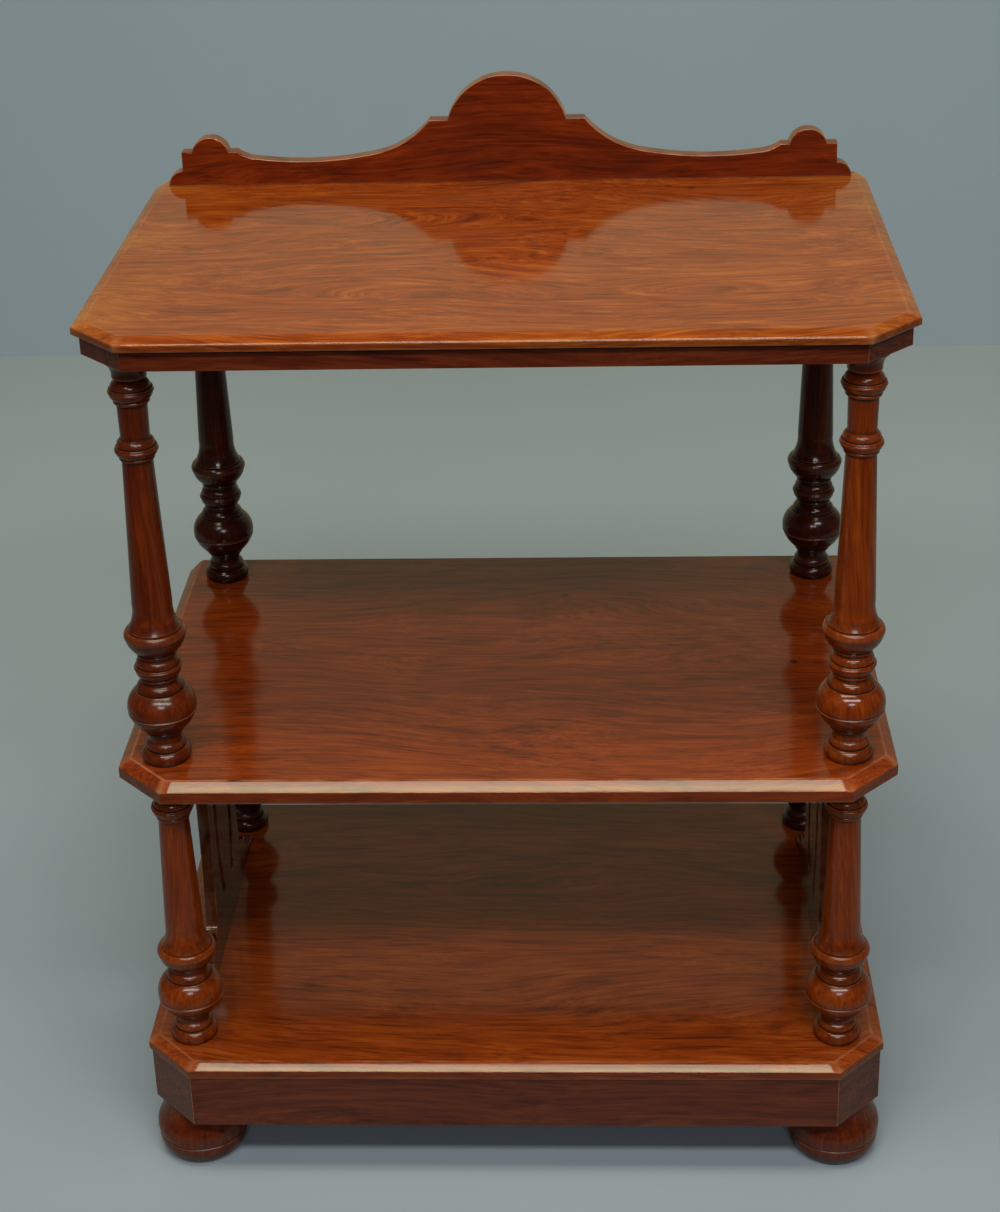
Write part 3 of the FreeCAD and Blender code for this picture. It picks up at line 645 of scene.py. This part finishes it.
GALLERY_ROUNDING = 1.1
GALLERY_HALF = HALF_WIDTH - 17.5
GALLERY_END_HEIGHT = 38
GALLERY_END_RADIUS = 16.5
LOBE_END = GALLERY_HALF - 28
LOBE_WIDTH = 42
LOBE_RISE = 16.5
RAMP_END = GALLERY_HALF - 79
DROP_RUN = 24
DROP_SWELL = 2
TROUGH_OUTER_HEIGHT = 29.4
TROUGH_INNER_HEIGHT = 33.6
TROUGH_SWELL = 5.4
RISE_START = 148
RISE_SWELL = 6.2
STEP_HALF = 86
STEP_HEIGHT = 71
CREST_HALF = 66
CREST_HEIGHT = 121


def crest_swell():
    """How far half the crest's arc stands out of its chord."""
    rise = CREST_HEIGHT - STEP_HEIGHT
    radius = (CREST_HALF ** 2 + rise ** 2) / (rise * 2)
    return radius - math.sqrt(radius * radius - (CREST_HALF * CREST_HALF + rise * rise) / 4)


def gallery_outline():
    """The gallery's edge: an ear over each end, a low trough, and a ramp up to the round crest."""
    shoulder = GALLERY_HALF - GALLERY_END_RADIUS
    right = [
        (GALLERY_HALF, 0),
        (shoulder, GALLERY_END_RADIUS, GALLERY_END_RADIUS * QUARTER_SWELL),
        (shoulder, GALLERY_END_HEIGHT),
        (LOBE_END, GALLERY_END_HEIGHT),
        (LOBE_END - LOBE_WIDTH, GALLERY_END_HEIGHT, LOBE_RISE),
        (RAMP_END, GALLERY_END_HEIGHT),
        (RAMP_END - DROP_RUN, TROUGH_OUTER_HEIGHT, -DROP_SWELL),
        (RISE_START, TROUGH_INNER_HEIGHT, -TROUGH_SWELL),
        (STEP_HALF, STEP_HEIGHT, -RISE_SWELL),
        (CREST_HALF, STEP_HEIGHT),
        (0, CREST_HEIGHT, crest_swell()),
    ]
    return closed_outline(right + mirrored(right)[1:])


def gallery(material):
    low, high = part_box("gallery")
    place = Matrix(((1, 0, 0, 0), (0, 0, 1, (low.y + high.y) / 2), (0, 1, 0, low.z), (0, 0, 0, 1)))
    thickness = (high.y - low.y) / MM
    piece = plate("gallery_piece", [gallery_outline()], thickness, GALLERY_ROUNDING, place)
    return dressed(piece, "gallery_wood", material, "gallery")


# Straight pieces of the plinth and the frieze ----------------------------------------------------

SAME_PLANE = math.radians(1)
RAIL_EASING = 0.7


def eased(node, slot, material):
    """A copy of a straight CAD piece with its arrises eased."""
    mesh = NODES[node].data.copy()
    mesh.name = node + "_piece"
    work = bmesh.new()
    work.from_mesh(mesh)
    bmesh.ops.remove_doubles(work, verts=work.verts, dist=WELD)
    bmesh.ops.dissolve_limit(work, angle_limit=SAME_PLANE, verts=work.verts, edges=work.edges)
    work.to_mesh(mesh)
    work.free()
    return dressed(smoothed(link(node + "_piece", mesh), RAIL_EASING), slot, material, node)


# Materials ---------------------------------------------------------------------------------------

def colour(code):
    """A linear colour from its six hexadecimal digits, by the sRGB curve."""
    parts = [int(code[n:n + 2], 16) / 255 for n in (0, 2, 4)]
    return tuple(v / 12.92 if v <= 0.04045 else ((v + 0.055) / 1.055) ** 2.4 for v in parts) + (1.0,)


class Tree:
    """A material's nodes, with short names for the ones that repeat."""

    def __init__(self, name):
        self.material = bpy.data.materials.new(name)
        self.material.use_nodes = True
        self.nodes = self.material.node_tree.nodes
        self.links = self.material.node_tree.links
        self.nodes.clear()

    def add(self, kind, inputs, **settings):
        node = self.nodes.new("ShaderNode" + kind)
        for name, value in settings.items():
            setattr(node, name, value)
        for key, value in inputs.items():
            if isinstance(value, bpy.types.NodeSocket):
                self.links.new(value, node.inputs[key])
            else:
                node.inputs[key].default_value = value
        return node

    def place(self):
        return self.add("TexCoord", {}).outputs["Object"]

    def stretched(self, vector, scale, turn=(0, 0, 0), shift=(0, 0, 0)):
        mapping = {"Vector": vector, "Location": shift, "Rotation": turn, "Scale": scale}
        return self.add("Mapping", mapping).outputs["Vector"]

    def noise(self, vector, scale=1.0, detail=3.0, roughness=0.5, distortion=0.0, output="Fac"):
        inputs = {"Vector": vector, "Scale": scale, "Detail": detail, "Roughness": roughness,
                  "Distortion": distortion}
        return self.add("TexNoise", inputs).outputs[output]

    def calc(self, kind, a, b=0.0, clamp=False):
        return self.add("Math", {0: a, 1: b}, operation=kind, use_clamp=clamp).outputs[0]

    def product(self, *factors):
        result = factors[0]
        for factor in factors[1:]:
            result = self.calc("MULTIPLY", result, factor)
        return result

    def weighted(self, *terms):
        """The sum of (value, weight) pairs."""
        total = self.product(*terms[0])
        for term in terms[1:]:
            total = self.calc("ADD", total, self.product(*term))
        return total

    def vector(self, kind, a, inputs):
        return self.add("VectorMath", {0: a, **inputs}, operation=kind).outputs[0]

    def span(self, value, low, high, to_low=0.0, to_high=1.0):
        """The value's place between low and high, held within its ends."""
        inputs = {"Value": value, "From Min": low, "From Max": high, "To Min": to_low, "To Max": to_high}
        return self.add("MapRange", inputs, clamp=True).outputs[0]

    def mix(self, factor, a, b, blend="MIX"):
        """Two colours mixed: in this node they are inputs 6 and 7 and output 2."""
        node = self.add("Mix", {0: factor, 6: a, 7: b}, data_type="RGBA", blend_type=blend)
        return node.outputs[2]

    def ramp(self, value, stops):
        node = self.add("ValToRGB", {"Fac": value})
        elements = node.color_ramp.elements
        while len(elements) < len(stops):
            elements.new(0.5)
        for element, (position, shade) in zip(elements, stops):
            element.position = position
            element.color = shade
        return node.outputs["Color"]

    def bump(self, height, strength, distance, over=None):
        inputs = {"Strength": strength, "Distance": distance, "Height": height}
        if over:
            inputs["Normal"] = over
        return self.add("Bump", inputs).outputs[0]

    def layer(self, name):
        return self.add("Attribute", {}, attribute_name=name).outputs["Fac"]

    def finish(self, **inputs):
        shader = self.add("BsdfPrincipled", {key.replace("_", " "): value for key, value in inputs.items()})
        self.add("OutputMaterial", {"Surface": shader.outputs[0]})
        return self.material


# how much finer the pattern is across the grain than along it
GRAIN = {"X": (1, 11, 11), "Y": (11, 1, 11), "Z": (11, 11, 1)}
SEED_SHIFT = (1.0, 0.7, 1.3)
DRIFT_SCALE = 1.6
DRIFT_REACH = 0.16
BANDS_WEIGHT = 0.18
STREAKS_WEIGHT = 0.34
RIBBONS_WEIGHT = 0.34
FIBRES_WEIGHT = 0.14
TONE_SPAN = (0.395, 0.605)
MIDDLE_TONE = 0.52
SCRATCH_TURNS = (0.5, 1.9, 2.7)
SCRATCH_STRETCH = (9, 260, 160)

FADED_DARK = colour("9a4c13")
FADED_LIGHT = colour("b87424")
PORE = colour("2a0c04")
BRUISE = colour("1c0a05")
SCRATCH = colour("3a1a0c")
BARE_WOOD = colour("c98a62")
# dirt and painted shade in inner corners
DIRT_AND_PAINTED_SHADE = colour("120604")
# painted shade
PAINTED_SHADE = colour("160603")

PORE_STRENGTH = 0.5
BRUISE_STRENGTH = 0.75
SCRATCH_STRENGTH = 0.22
WEAR_STRENGTH = 0.7
DIRT_AND_SHADE_STRENGTH = 0.85
PAINTED_SHADE_STRENGTH = 0.8
DIRT_ROUGHNESS = 0.3
POLISH_WAVE = 0.035
COAT_IOR = 1.45


def along_grain(t, bent, grain):
    """The four sizes of line in the grain, from broad bands to fibres, and the pores."""
    finer = GRAIN[grain]
    along = t.stretched(bent, finer)
    ribbon_stretch = tuple(g * 1.8 if g > 1 else 1 for g in finer)
    fibre_stretch = tuple(g * g * 0.5 for g in finer)
    pore_stretch = tuple(g * g for g in finer)
    bands = t.noise(along, scale=2.3, detail=5.0, roughness=0.6, distortion=0.6)
    streaks = t.noise(along, scale=8.5, detail=4.0, roughness=0.65, distortion=0.3)
    ribbons = t.noise(t.stretched(bent, ribbon_stretch), scale=13.0, detail=3.0, roughness=0.6)
    fibres = t.noise(t.stretched(bent, fibre_stretch), scale=6.0, detail=3.0, roughness=0.7)
    pores = t.span(t.noise(t.stretched(bent, pore_stretch), scale=7.0, detail=1.0), 0.56, 0.70)
    return bands, streaks, ribbons, fibres, pores


def bruised(t, here, marks):
    """Small round bruises, in some places only."""
    cells = t.add("TexVoronoi", {"Vector": here, "Scale": 13.0, "Randomness": 1.0})
    spots = t.span(cells.outputs["Distance"], 0.035, 0.075, 1.0, 0.0)
    chosen = t.span(t.noise(here, scale=7.0, detail=1.0), 0.55, 0.60)
    return t.product(spots, chosen, BRUISE_STRENGTH * marks)


def scratched(t, here):
    """Fine scratches that run in three directions, in patches."""
    scratches = 0.0
    for number, turn in enumerate(SCRATCH_TURNS):
        stretch = t.stretched(here, SCRATCH_STRETCH, turn=(0, 0, turn), shift=(number * 3.1, 0, 0))
        lines = t.span(t.noise(stretch, detail=1.0), 0.73, 0.77)
        patch = t.span(t.noise(here, scale=5.0 + number * 2, detail=1.0), 0.5, 0.62)
        scratches = t.calc("ADD", scratches, t.product(lines, patch), clamp=True)
    return scratches


def mahogany(name, grain, shades, seed, figure=1.0, fade=None, dull=0.3, coat_roughness=0.07, marks=1.0,
             clouding=0.16):
    """French-polished mahogany in three shades, dark to light: streaks and figure along the grain, pores,
    bruises and scratches, rubbed edges, dirt and painted shade in the corners, and painted shade where the
    mesh marks recesses, undersides and upright edges, under a clear coat."""
    t = Tree(name)
    dark, middle, light = (colour(code) for code in shades)
    place = t.place()
    here = t.vector("ADD", place, {1: tuple(seed * share for share in SEED_SHIFT)})

    # the grain, bent by a slow drift
    drift_stretch = tuple(DRIFT_SCALE * g ** 0.5 for g in GRAIN[grain])
    drift = t.noise(t.stretched(here, drift_stretch), detail=2.0, output="Color")
    drift = t.vector("SUBTRACT", drift, {1: (0.5, 0.5, 0.5)})
    drift = t.vector("SCALE", drift, {"Scale": DRIFT_REACH * figure})
    bent = t.vector("ADD", here, {1: drift})
    bands, streaks, ribbons, fibres, pores = along_grain(t, bent, grain)
    clouds = t.noise(here, scale=3.2, detail=3.0, roughness=0.55)
    tone = t.weighted((bands, BANDS_WEIGHT), (streaks, STREAKS_WEIGHT), (ribbons, RIBBONS_WEIGHT),
                      (fibres, FIBRES_WEIGHT), (clouds, clouding))
    tone = t.span(tone, TONE_SPAN[0] + clouding / 2, TONE_SPAN[1] + clouding / 2)

    # colour: the wood, its bleached parts, pores, bruises, scratches, wear, dirt and painted shade
    shade = t.ramp(tone, [(0.0, dark), (MIDDLE_TONE, middle), (1.0, light)])
    if fade:
        shade = t.mix(fade(t, place), shade, t.mix(tone, FADED_DARK, FADED_LIGHT))
    shade = t.mix(t.product(pores, PORE_STRENGTH), shade, t.mix(0.4, dark, PORE))
    spots = bruised(t, here, marks)
    shade = t.mix(spots, shade, BRUISE)
    scratches = scratched(t, here)
    shade = t.mix(t.product(scratches, SCRATCH_STRENGTH * marks), shade, SCRATCH)
    worn = t.product(t.layer("worn"), t.span(t.noise(here, scale=38.0, detail=3.0), 0.3, 0.56))
    shade = t.mix(t.product(worn, WEAR_STRENGTH), shade, t.mix(0.6, light, BARE_WOOD))
    # dirt and painted shade in inner corners, in noisy patches
    grime_and_painted_shade = t.span(t.noise(here, scale=30.0, detail=2.0), 0.2, 0.5, 0.55, 1.0)
    dirt_and_painted_shade = t.product(t.layer("hollow"), grime_and_painted_shade)
    shade = t.mix(t.product(dirt_and_painted_shade, DIRT_AND_SHADE_STRENGTH), shade, DIRT_AND_PAINTED_SHADE)
    # painted shade from the layer written for recesses, undersides, feet and upright board edges
    shade = t.mix(t.product(t.layer("painted_shade"), PAINTED_SHADE_STRENGTH), shade, PAINTED_SHADE)

    # roughness of the wood and of the coat over it
    haze = t.noise(here, scale=9.0, detail=4.0, roughness=0.6)
    rough = t.span(haze, 0.3, 0.7, dull - 0.06, dull + 0.12)
    rough = t.calc("ADD", rough, t.product(dirt_and_painted_shade, DIRT_ROUGHNESS), clamp=True)
    gloss = t.span(haze, 0.3, 0.7, coat_roughness * 0.7, coat_roughness * 1.5)
    gloss = t.calc("ADD", gloss, t.product(dirt_and_painted_shade, DIRT_ROUGHNESS), clamp=True)

    # relief: pores, fibres and marks in the wood, and a slow wave in the polish
    relief = t.weighted((pores, -0.35), (fibres, 0.25), (scratches, -0.7), (spots, -1.6))
    wood = t.bump(relief, strength=0.16, distance=0.0004)
    wave = t.noise(t.stretched(here, (4, 7, 5)), detail=1.0)
    polish = t.calc("ADD", wave, t.product(t.noise(here, scale=75.0, detail=2.0), POLISH_WAVE))
    coat = t.bump(polish, strength=0.4, distance=0.002)
    base = t.bump(polish, strength=0.5, distance=0.002, over=wood)
    return t.finish(Base_Color=shade, Roughness=rough, Normal=base, Specular_IOR_Level=0.0, Coat_Weight=1.0,
                    Coat_Roughness=gloss, Coat_IOR=COAT_IOR, Coat_Normal=coat)


def plain_wood(name, shade_low, shade_high, roughness):
    """Unpolished wood: pale streaks and pores along Z."""
    t = Tree(name)
    here = t.place()
    streaks = t.noise(t.stretched(here, (60, 60, 9)), scale=2.0, detail=4.0, roughness=0.6)
    pores = t.span(t.noise(t.stretched(here, (900, 900, 60)), detail=1.0), 0.55, 0.7)
    shade = t.ramp(t.span(streaks, 0.35, 0.65), [(0.0, shade_low), (1.0, shade_high)])
    shade = t.mix(t.product(pores, 0.4), shade, shade_low)
    rough = t.span(streaks, 0.3, 0.7, roughness - 0.1, roughness + 0.1)
    relief = t.bump(t.calc("SUBTRACT", streaks, pores), strength=0.3, distance=0.0003)
    return t.finish(Base_Color=shade, Roughness=rough, Normal=relief)


CLEAN_STEEL = colour("6f6a64")
RUST = colour("4a2c1a")


def steel(name):
    """Screw steel gone brown in places."""
    t = Tree(name)
    here = t.place()
    rust = t.span(t.noise(here, scale=420.0, detail=4.0, roughness=0.65), 0.42, 0.62)
    shade = t.mix(rust, CLEAN_STEEL, RUST)
    metal = t.span(rust, 0.0, 1.0, 1.0, 0.15)
    rough = t.span(rust, 0.0, 1.0, 0.35, 0.8)
    relief = t.bump(rust, strength=0.3, distance=0.0001)
    return t.finish(Base_Color=shade, Metallic=metal, Roughness=rough, Normal=relief)


FADED_ENDS = (0.31, 0.40)
FADED_FRONT = (-0.215, -0.25)
FRONT_SHARE = 0.3
FADING = 0.8


def sun_faded(t, place):
    """Where light has bleached the top: along its ends and front, in soft patches."""
    parts = t.add("SeparateXYZ", {"Vector": place})
    ends = t.span(t.calc("ABSOLUTE", parts.outputs["X"]), *FADED_ENDS)
    front = t.span(parts.outputs["Y"], *FADED_FRONT)
    reach = t.calc("MAXIMUM", ends, t.product(front, FRONT_SHARE))
    patches = t.span(t.noise(t.stretched(place, (2.2, 5, 5)), detail=3.0, distortion=0.8), 0.42, 0.68)
    return t.product(reach, patches, FADING)


TOP = mahogany("top_mahogany", "X", ("64270a", "8c3c10", "a8551b"), seed=3.0, figure=1.6, fade=sun_faded,
               dull=0.26, coat_roughness=0.09, marks=0.7, clouding=0.05)
MIDDLE = mahogany("middle_mahogany", "X", ("5c220a", "86340e", "9a4213"), seed=11.0, dull=0.26,
                  coat_roughness=0.11, clouding=0.1)
BOTTOM = mahogany("bottom_mahogany", "X", ("5c230a", "8a380f", "9e4a16"), seed=23.0, figure=0.9, dull=0.26,
                  coat_roughness=0.11, clouding=0.1)
GALLERY = mahogany("gallery_mahogany", "X", ("441407", "682208", "7c2d0c"), seed=31.0, figure=0.8,
                   coat_roughness=0.12)
FRAME_SHADES = ("441508", "622610", "743316")
FRAME_X = mahogany("front_mahogany", "X", FRAME_SHADES, seed=41.0, figure=0.7, dull=0.36,
                   coat_roughness=0.12)
FRAME_Y = mahogany("side_mahogany", "Y", FRAME_SHADES, seed=47.0, figure=0.7, dull=0.36,
                   coat_roughness=0.12)
TURNED = mahogany("turned_mahogany", "Z", ("602204", "7b2f05", "903f09"), seed=53.0, figure=0.6,
                  coat_roughness=0.17, marks=0.7)
# painted shade: darker copies of the turned mahogany, for the pieces listed below and for the back posts
# and feet
TURNED_PAINTED_SHADE_DARK = mahogany("dark_turned_mahogany_painted_shade", "Z", ("441403", "5c1f04", "702a06"), seed=55.0, figure=0.6,
                       coat_roughness=0.17, marks=0.7)
TURNED_PAINTED_SHADE_BACK = mahogany("back_turned_mahogany_painted_shade", "Z", ("280a02", "3c1203", "521d05"), seed=57.0, figure=0.6,
                       coat_roughness=0.17, marks=0.7)
# the end panels' own mahogany, darkened with painted shade
PANEL_PAINTED_SHADE = mahogany("panel_mahogany_painted_shade", "Z", ("300e05", "461707", "5a220b"), seed=61.0, figure=0.7, dull=0.34)
DOWEL = plain_wood("dowel_birch", colour("a98a5c"), colour("cbb084"), roughness=0.7)
BLOCK = plain_wood("block_pine", colour("9a7a4e"), colour("c19f6d"), roughness=0.75)
STEEL = steel("screw_steel_brown")


# The object --------------------------------------------------------------------------------------

board("bottom_board", BOTTOM, edge=9.9, rise=5.6, front_bevel=10.2, crown=0.3, arris=1.4)
board("middle_board", MIDDLE, edge=12.9, rise=7.8, front_bevel=11.5, crown=0.3, arris=1.4)
board("top_board", TOP, edge=7.6, rise=4.6, front_bevel=15.0, crown=0.4, arris=2.6)
gallery(GALLERY)
for side in SIDES:
    end_panel(side, PANEL_PAINTED_SHADE)

# each kind of turned piece: its profile and the board that it stands on, if any
TURNINGS = {
    "lower_post": (lower_post(), "bottom_board"),
    "upper_post": (upper_post(), "middle_board"),
    "bun_foot": (bun_foot(), None),
}
# pieces that get the darker painted-shade copy of the turned mahogany
PAINTED_SHADE_TURNINGS = ("upper_post_front_left", "bun_foot_front_left", "bun_foot_front_right")


def turned_piece(kind, end, side):
    node = f"{kind}_{end}_{side}"
    profile, support = TURNINGS[kind]
    low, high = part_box(node)
    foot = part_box(support)[1].z / MM if support else 0.0
    # painted shade: back pieces and the listed ones get darker copies of the same mahogany
    material = TURNED if end == "front" else TURNED_PAINTED_SHADE_BACK
    if node in PAINTED_SHADE_TURNINGS:
        material = TURNED_PAINTED_SHADE_DARK
    turned(node, (low.x + high.x) / 2 / MM, (low.y + high.y) / 2 / MM, foot, profile, material)


for kind in TURNINGS:
    for end in ENDS:
        for side in SIDES:
            turned_piece(kind, end, side)

for node in sorted(NODES):
    if node.startswith(("plinth_", "frieze_")) and "glue" not in node and "screws" not in node:
        runs_across = "front" in node or "back" in node
        eased(node, "frame_wood", FRAME_X if runs_across else FRAME_Y)

# what lies hidden inside keeps its CAD shape
HIDDEN = {
    "gallery_dowels": DOWEL,
    "end_panel_dowels": DOWEL,
    "frieze_screws": STEEL,
    "plinth_glue_blocks": BLOCK,
    "frieze_glue_blocks": BLOCK,
}
for node, material in HIDDEN.items():
    for holder in NODES[node].material_slots:
        holder.material = material


# Floor, wall, camera and light -------------------------------------------------------------------

BLACK = (0.0, 0.0, 0.0, 1.0)
MOTTLE = 0.04
# painted shade: between these two places along Y, from back to front, a plane sinks to its front share
SEEN_PAINTED_SHADE = (1.7, -0.4)
UNSEEN_PAINTED_SHADE = (-0.3, -1.2)


def scaled(shade, share):
    return tuple(part * share for part in shade[:3]) + (1.0,)


def flat_stage(name, corners, shade, unseen, roughness, painted_front_share=1.0, painted_unseen_front_share=1.0):
    """A plain plane of the room. The camera sees it in its own shade, darkened towards the front with
    painted shade, and every other ray meets that shade times the unseen one, falling towards black further
    forward: a painted reflection and bounce, so that what the object reflects can be lit apart from the
    background."""
    mesh = bpy.data.meshes.new(name)
    mesh.from_pydata(corners, [], [tuple(range(len(corners)))])
    t = Tree(name)
    here = t.place()
    depth = t.add("SeparateXYZ", {"Vector": here}).outputs["Y"]
    mottle = t.noise(here, scale=1.4, detail=4.0)
    seen = t.mix(mottle, scaled(shade, 1 - MOTTLE), scaled(shade, 1 + MOTTLE))
    seen = t.mix(t.span(depth, *SEEN_PAINTED_SHADE, 0.0, 1.0 - painted_front_share), seen, BLACK)
    reflected = t.mix(1.0, seen, unseen, "MULTIPLY")
    reflected = t.mix(t.span(depth, *UNSEEN_PAINTED_SHADE, 0.0, 1.0 - painted_unseen_front_share), reflected, BLACK)
    shown = t.mix(t.add("LightPath", {}).outputs["Is Camera Ray"], reflected, seen)
    mesh.materials.append(t.finish(Base_Color=shown, Roughness=roughness))
    stage = link(name, mesh)


STAGE_HALF = 6
WALL_Y = 2.27
WALL_HEIGHT = 4.5
FLOOR_CORNERS = [(-STAGE_HALF, -STAGE_HALF, 0), (STAGE_HALF, -STAGE_HALF, 0), (STAGE_HALF, WALL_Y, 0),
                 (-STAGE_HALF, WALL_Y, 0)]
WALL_CORNERS = [(-STAGE_HALF, WALL_Y, 0), (STAGE_HALF, WALL_Y, 0), (STAGE_HALF, WALL_Y, WALL_HEIGHT),
                (-STAGE_HALF, WALL_Y, WALL_HEIGHT)]
# painted shade on the floor towards the front; painted reflections: other rays meet the floor darker and
# the wall brighter and warmer
flat_stage("floor", FLOOR_CORNERS, colour("b9c7d6"), unseen=(0.8, 0.74, 0.64, 1.0), roughness=0.6,
           painted_front_share=0.66, painted_unseen_front_share=0.14)
flat_stage("wall", WALL_CORNERS, colour("aebecc"), unseen=(1.5, 1.2, 0.72, 1.0), roughness=0.9)

# the camera as fitted to the photo: its place in mm, its turns, and its axis and focal length in pixels
CAMERA_PLACE = Vector((96.8, -2148.0, 1687.5)) * MM
CAMERA_YAW = math.radians(-2.554)
CAMERA_PITCH = math.radians(-23.68)
CAMERA_ROLL = math.radians(-1.56)
FOCAL_PIXELS = 2205.5
AXIS_PIXEL = (507.2, 458.2)
IMAGE = (1000, 1212)
SENSOR_HEIGHT = 24.0


def add_camera():
    heading = Vector((math.sin(CAMERA_YAW), math.cos(CAMERA_YAW), 0)) * math.cos(CAMERA_PITCH)
    ahead = heading + Vector((0, 0, math.sin(CAMERA_PITCH)))
    right = Vector((math.cos(CAMERA_YAW), -math.sin(CAMERA_YAW), 0))
    up = right.cross(ahead)
    across = right * math.cos(CAMERA_ROLL) + up * math.sin(CAMERA_ROLL)
    upward = up * math.cos(CAMERA_ROLL) - right * math.sin(CAMERA_ROLL)
    data = bpy.data.cameras.new("camera")
    data.sensor_fit = "VERTICAL"
    data.sensor_height = SENSOR_HEIGHT
    data.lens = FOCAL_PIXELS / IMAGE[1] * SENSOR_HEIGHT
    data.shift_x = (IMAGE[0] / 2 - AXIS_PIXEL[0]) / IMAGE[1]
    data.shift_y = (AXIS_PIXEL[1] - IMAGE[1] / 2) / IMAGE[1]
    camera = bpy.data.objects.new("camera", data)
    bpy.context.scene.collection.objects.link(camera)
    axes = Matrix((across, upward, -ahead)).transposed().to_4x4()
    camera.matrix_world = Matrix.Translation(CAMERA_PLACE) @ axes
    bpy.context.scene.camera = camera


def soft_light(name, place, aim, size, power, shade):
    data = bpy.data.lights.new(name, "AREA")
    data.shape = "RECTANGLE"
    data.size, data.size_y = size
    data.energy = power
    data.color = shade
    lamp = bpy.data.objects.new(name, data)
    bpy.context.scene.collection.objects.link(lamp)
    lamp.location = place
    lamp.rotation_euler = (Vector(aim) - Vector(place)).to_track_quat("-Z", "Y").to_euler()


add_camera()
soft_light("overhead", place=(-0.1, -0.52, 3.4), aim=(-0.1, -0.5, 0.0), size=(2.0, 0.6), power=27.0,
           shade=(1.0, 1.0, 0.8))
soft_light("overhead_front", place=(-0.1, -0.99, 3.4), aim=(-0.1, -0.9, 0.0), size=(2.0, 0.34), power=22.0,
           shade=(1.0, 1.0, 0.62))
soft_light("row", place=(0.3, -2.4, 3.4), aim=(0.3, 0.0, 0.5), size=(3.4, 0.4), power=70.0,
           shade=(1.0, 0.98, 0.93))
soft_light("behind_camera", place=(0.25, -4.2, 3.2), aim=(0.0, 0.0, 0.6), size=(1.5, 0.6), power=34.0,
           shade=(0.97, 0.98, 1.0))

AIR_SHADE = (0.93, 0.97, 1.0, 1.0)
AIR_STRENGTH = 0.06
world = bpy.data.worlds.new("air")
bpy.context.scene.world = world
world.use_nodes = True
background = world.node_tree.nodes["Background"]
background.inputs["Color"].default_value = AIR_SHADE
background.inputs["Strength"].default_value = AIR_STRENGTH

bpy.context.scene.view_settings.view_transform = "Standard"
